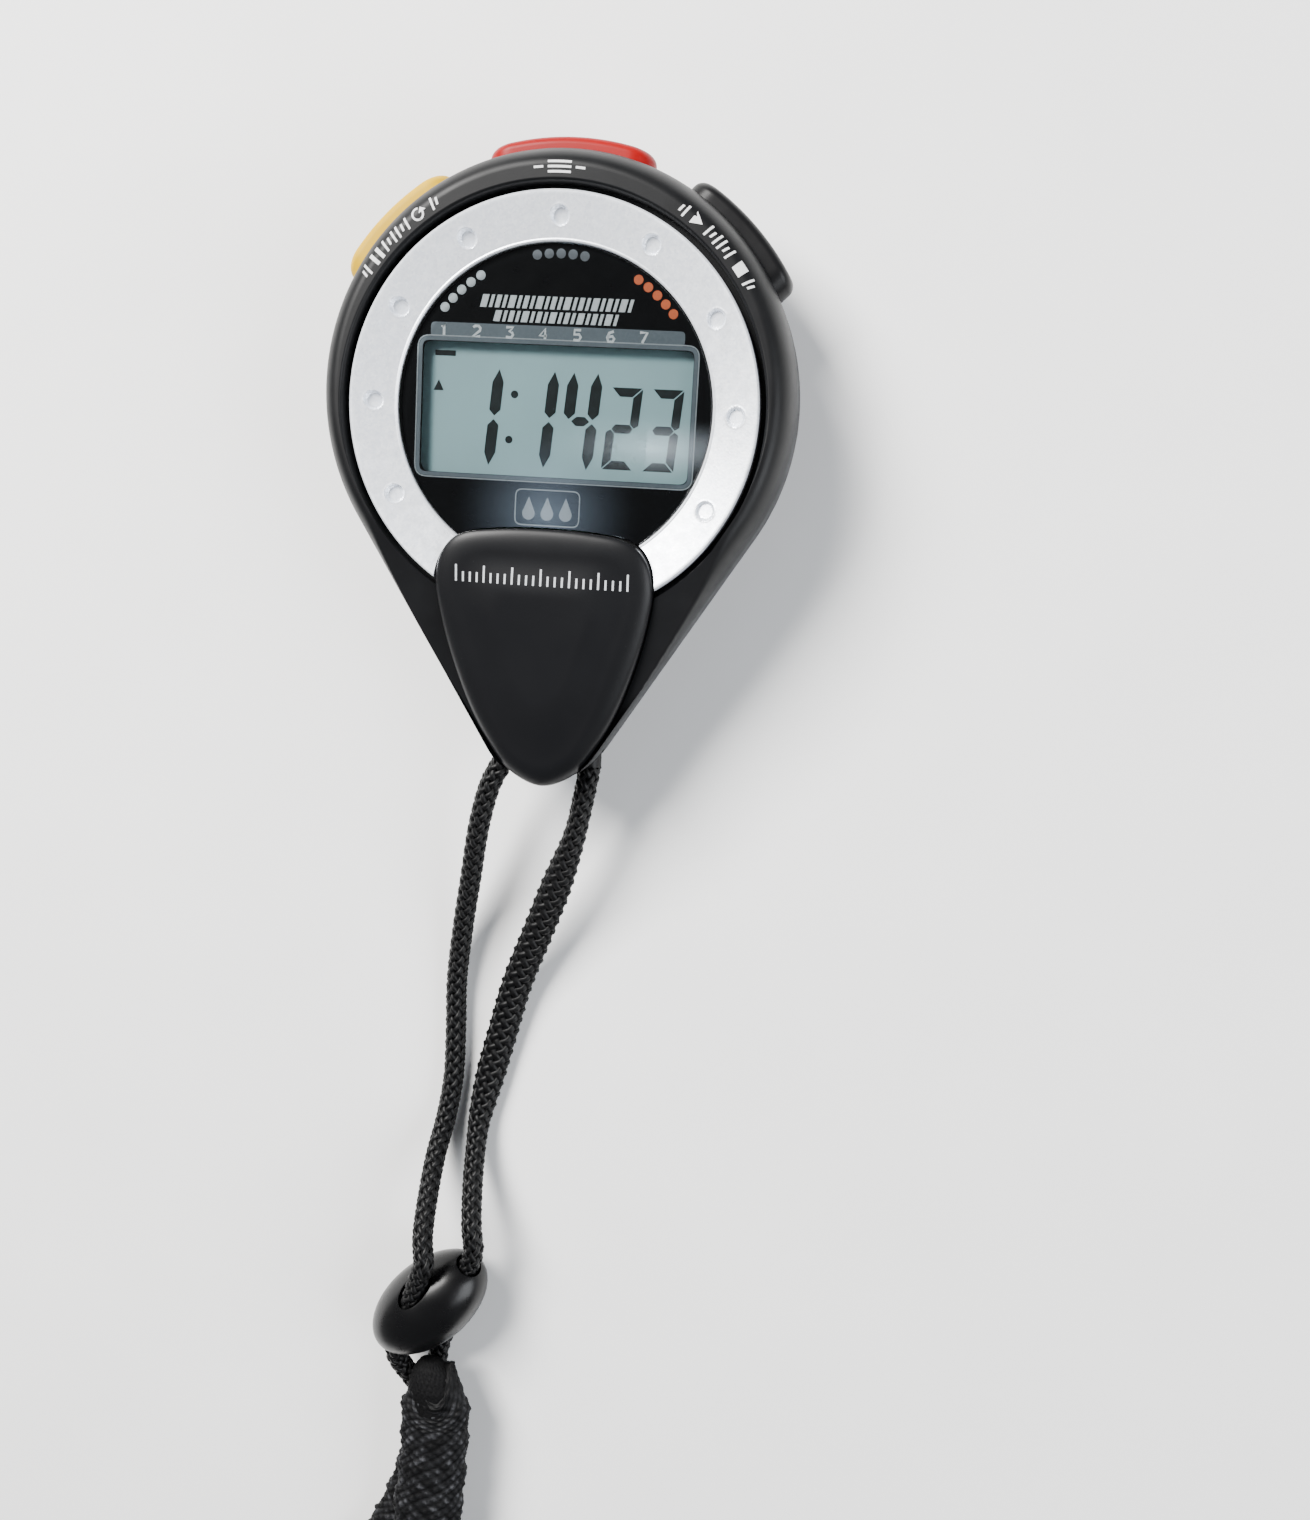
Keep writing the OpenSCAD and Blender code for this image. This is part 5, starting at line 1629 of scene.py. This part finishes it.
# ---------------------------------------------------------------- what stays inside
def inner_parts():
    """Finishes of the nodes that keep their own shape."""
    rubber = plain_finish("black rubber", (0.012, 0.012, 0.012), 0.62)
    steel = metal_finish("steel", (0.56, 0.56, 0.58), 0.28)
    spring = metal_finish("spring steel", (0.5, 0.5, 0.52), 0.22)
    bronze = metal_finish("spring bronze", (0.72, 0.5, 0.24), 0.3)
    brass = metal_finish("brass", (0.76, 0.56, 0.26), 0.25)
    cell = metal_finish("cell steel", (0.66, 0.67, 0.69), 0.24, 1500)
    white = plain_finish("white plastic", (0.7, 0.7, 0.67), 0.45)
    pink = plain_finish("pink rubber", (0.55, 0.22, 0.26), 0.6)
    board = plain_finish("board green", (0.02, 0.12, 0.045), 0.35, 400)
    epoxy = plain_finish("black epoxy", (0.012, 0.012, 0.012), 0.25)
    ceramic = plain_finish("component ceramic", (0.26, 0.15, 0.07), 0.5, 2000)
    cord = cord_finish()
    shown = {
        rubber: ("case_gasket", "button_seals", "door_seal"), white: ("lcd_frame", "cell_holder"),
        pink: ("zebra_strips",), board: ("circuit_board",), epoxy: ("processor_blob",),
        steel: ("quartz_crystal", "board_screws", "mode_clip", "split_clip", "start_clip"),
        ceramic: ("board_parts",),
        bronze: ("switch_contacts", "buzzer_springs", "cell_contact_plus", "cell_contact_minus"),
        brass: ("buzzer_disc", "button_bushes"), spring: ("mode_spring", "split_spring", "start_spring"),
        cell: ("coin_cell",), cord: ("cord_bight",),
    }
    for mat, nodes in shown.items():
        for node in nodes:
            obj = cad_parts[node]
            for slot in obj.material_slots:
                slot.material = mat


# ---------------------------------------------------------------- floor and light
def floor():
    mesh = bpy.data.meshes.new("floor")
    half = 3.0
    corners = [(x, y, 0) for x, y in box_line(-half, half, -half, half)]
    mesh.from_pydata(corners, [], [(0, 1, 2, 3)])
    f = Finish("pale paper", (0.88, 0.88, 0.875), 0.8)
    f.paint("Base Color", f.ramp(f.noise(40, 3), (0.3, (0.87, 0.87, 0.866)), (0.7, (0.9, 0.9, 0.895))))
    f.bump(f.noise(2500, 2), 0.05, 0.00005)
    mesh.materials.append(f.mat)
    obj = bpy.data.objects.new("floor", mesh)
    bpy.context.scene.collection.objects.link(obj)


def soft_light(name, at, target, size, power, color=(1, 1, 1)):
    data = bpy.data.lights.new(name, "AREA")
    data.shape = "RECTANGLE"
    data.size, data.size_y = size
    data.energy = power
    data.color = color
    obj = bpy.data.objects.new(name, data)
    bpy.context.scene.collection.objects.link(obj)
    way = Vector(target) - Vector(at)
    obj.matrix_world = Matrix.Translation(at) @ way.to_track_quat("-Z", "Y").to_matrix().to_4x4()


def glow(name, at, size, strength, color):
    """A dim panel that fades out towards its edges, for soft reflections in the window."""
    mesh = bpy.data.meshes.new(name)
    mesh.from_pydata([(x, y, 0) for x, y in box_line(-1, 1, -1, 1)], [], [(0, 1, 2, 3)])
    mat = bpy.data.materials.new(name)
    mat.use_nodes = True
    nodes, links = mat.node_tree.nodes, mat.node_tree.links
    nodes.remove(nodes["Principled BSDF"])
    place = nodes.new("ShaderNodeTexCoord")
    fade = nodes.new("ShaderNodeTexGradient")
    fade.gradient_type = "QUADRATIC_SPHERE"
    links.new(place.outputs["Object"], fade.inputs["Vector"])
    light = nodes.new("ShaderNodeEmission")
    light.inputs["Color"].default_value = (*color, 1)
    light.inputs["Strength"].default_value = strength
    clear = nodes.new("ShaderNodeBsdfTransparent")
    mix = nodes.new("ShaderNodeMixShader")
    links.new(fade.outputs["Fac"], mix.inputs[0])
    links.new(clear.outputs[0], mix.inputs[1])
    links.new(light.outputs[0], mix.inputs[2])
    links.new(mix.outputs[0], nodes["Material Output"].inputs["Surface"])
    mesh.materials.append(mat)
    obj = bpy.data.objects.new(name, mesh)
    bpy.context.scene.collection.objects.link(obj)
    obj.matrix_world = Matrix.Translation(at) @ Matrix.Diagonal((size[0] / 2, size[1] / 2, 1, 1))


def lights():
    soft_light("key", (-0.40, 0.42, 0.60), (0, -0.02, 0.01), (0.40, 0.40), 28.0, (1.0, 0.985, 0.965))
    soft_light("fill", (0.62, -0.15, 0.45), (0, -0.02, 0.01), (0.5, 0.5), 7.0, (0.93, 0.96, 1.0))
    glow("window_glow", (-0.0675, -0.016, 0.32), (0.066, 0.06), 5.0, (0.62, 0.78, 1.0))
    glow("display_glow", (-0.034, 0.007, 0.32), (0.085, 0.022), 12.0, (0.8, 0.9, 1.0))
    world = bpy.data.worlds.new("studio")
    world.use_nodes = True
    world.node_tree.nodes["Background"].inputs["Color"].default_value = (0.9, 0.93, 1.0, 1)
    world.node_tree.nodes["Background"].inputs["Strength"].default_value = 0.14
    bpy.context.scene.world = world


make_cords()
make_strap(strap_mouth(), strap_tie())
front_case()
rear_case()
battery_door()
bezel_ring()
window()
dial_plate()
display()
dial_prints()
dial_dots()
rim_marks()
shield()
shield_mark()
buttons()
slider_bead()
case_screws()
inner_parts()
floor()
lights()
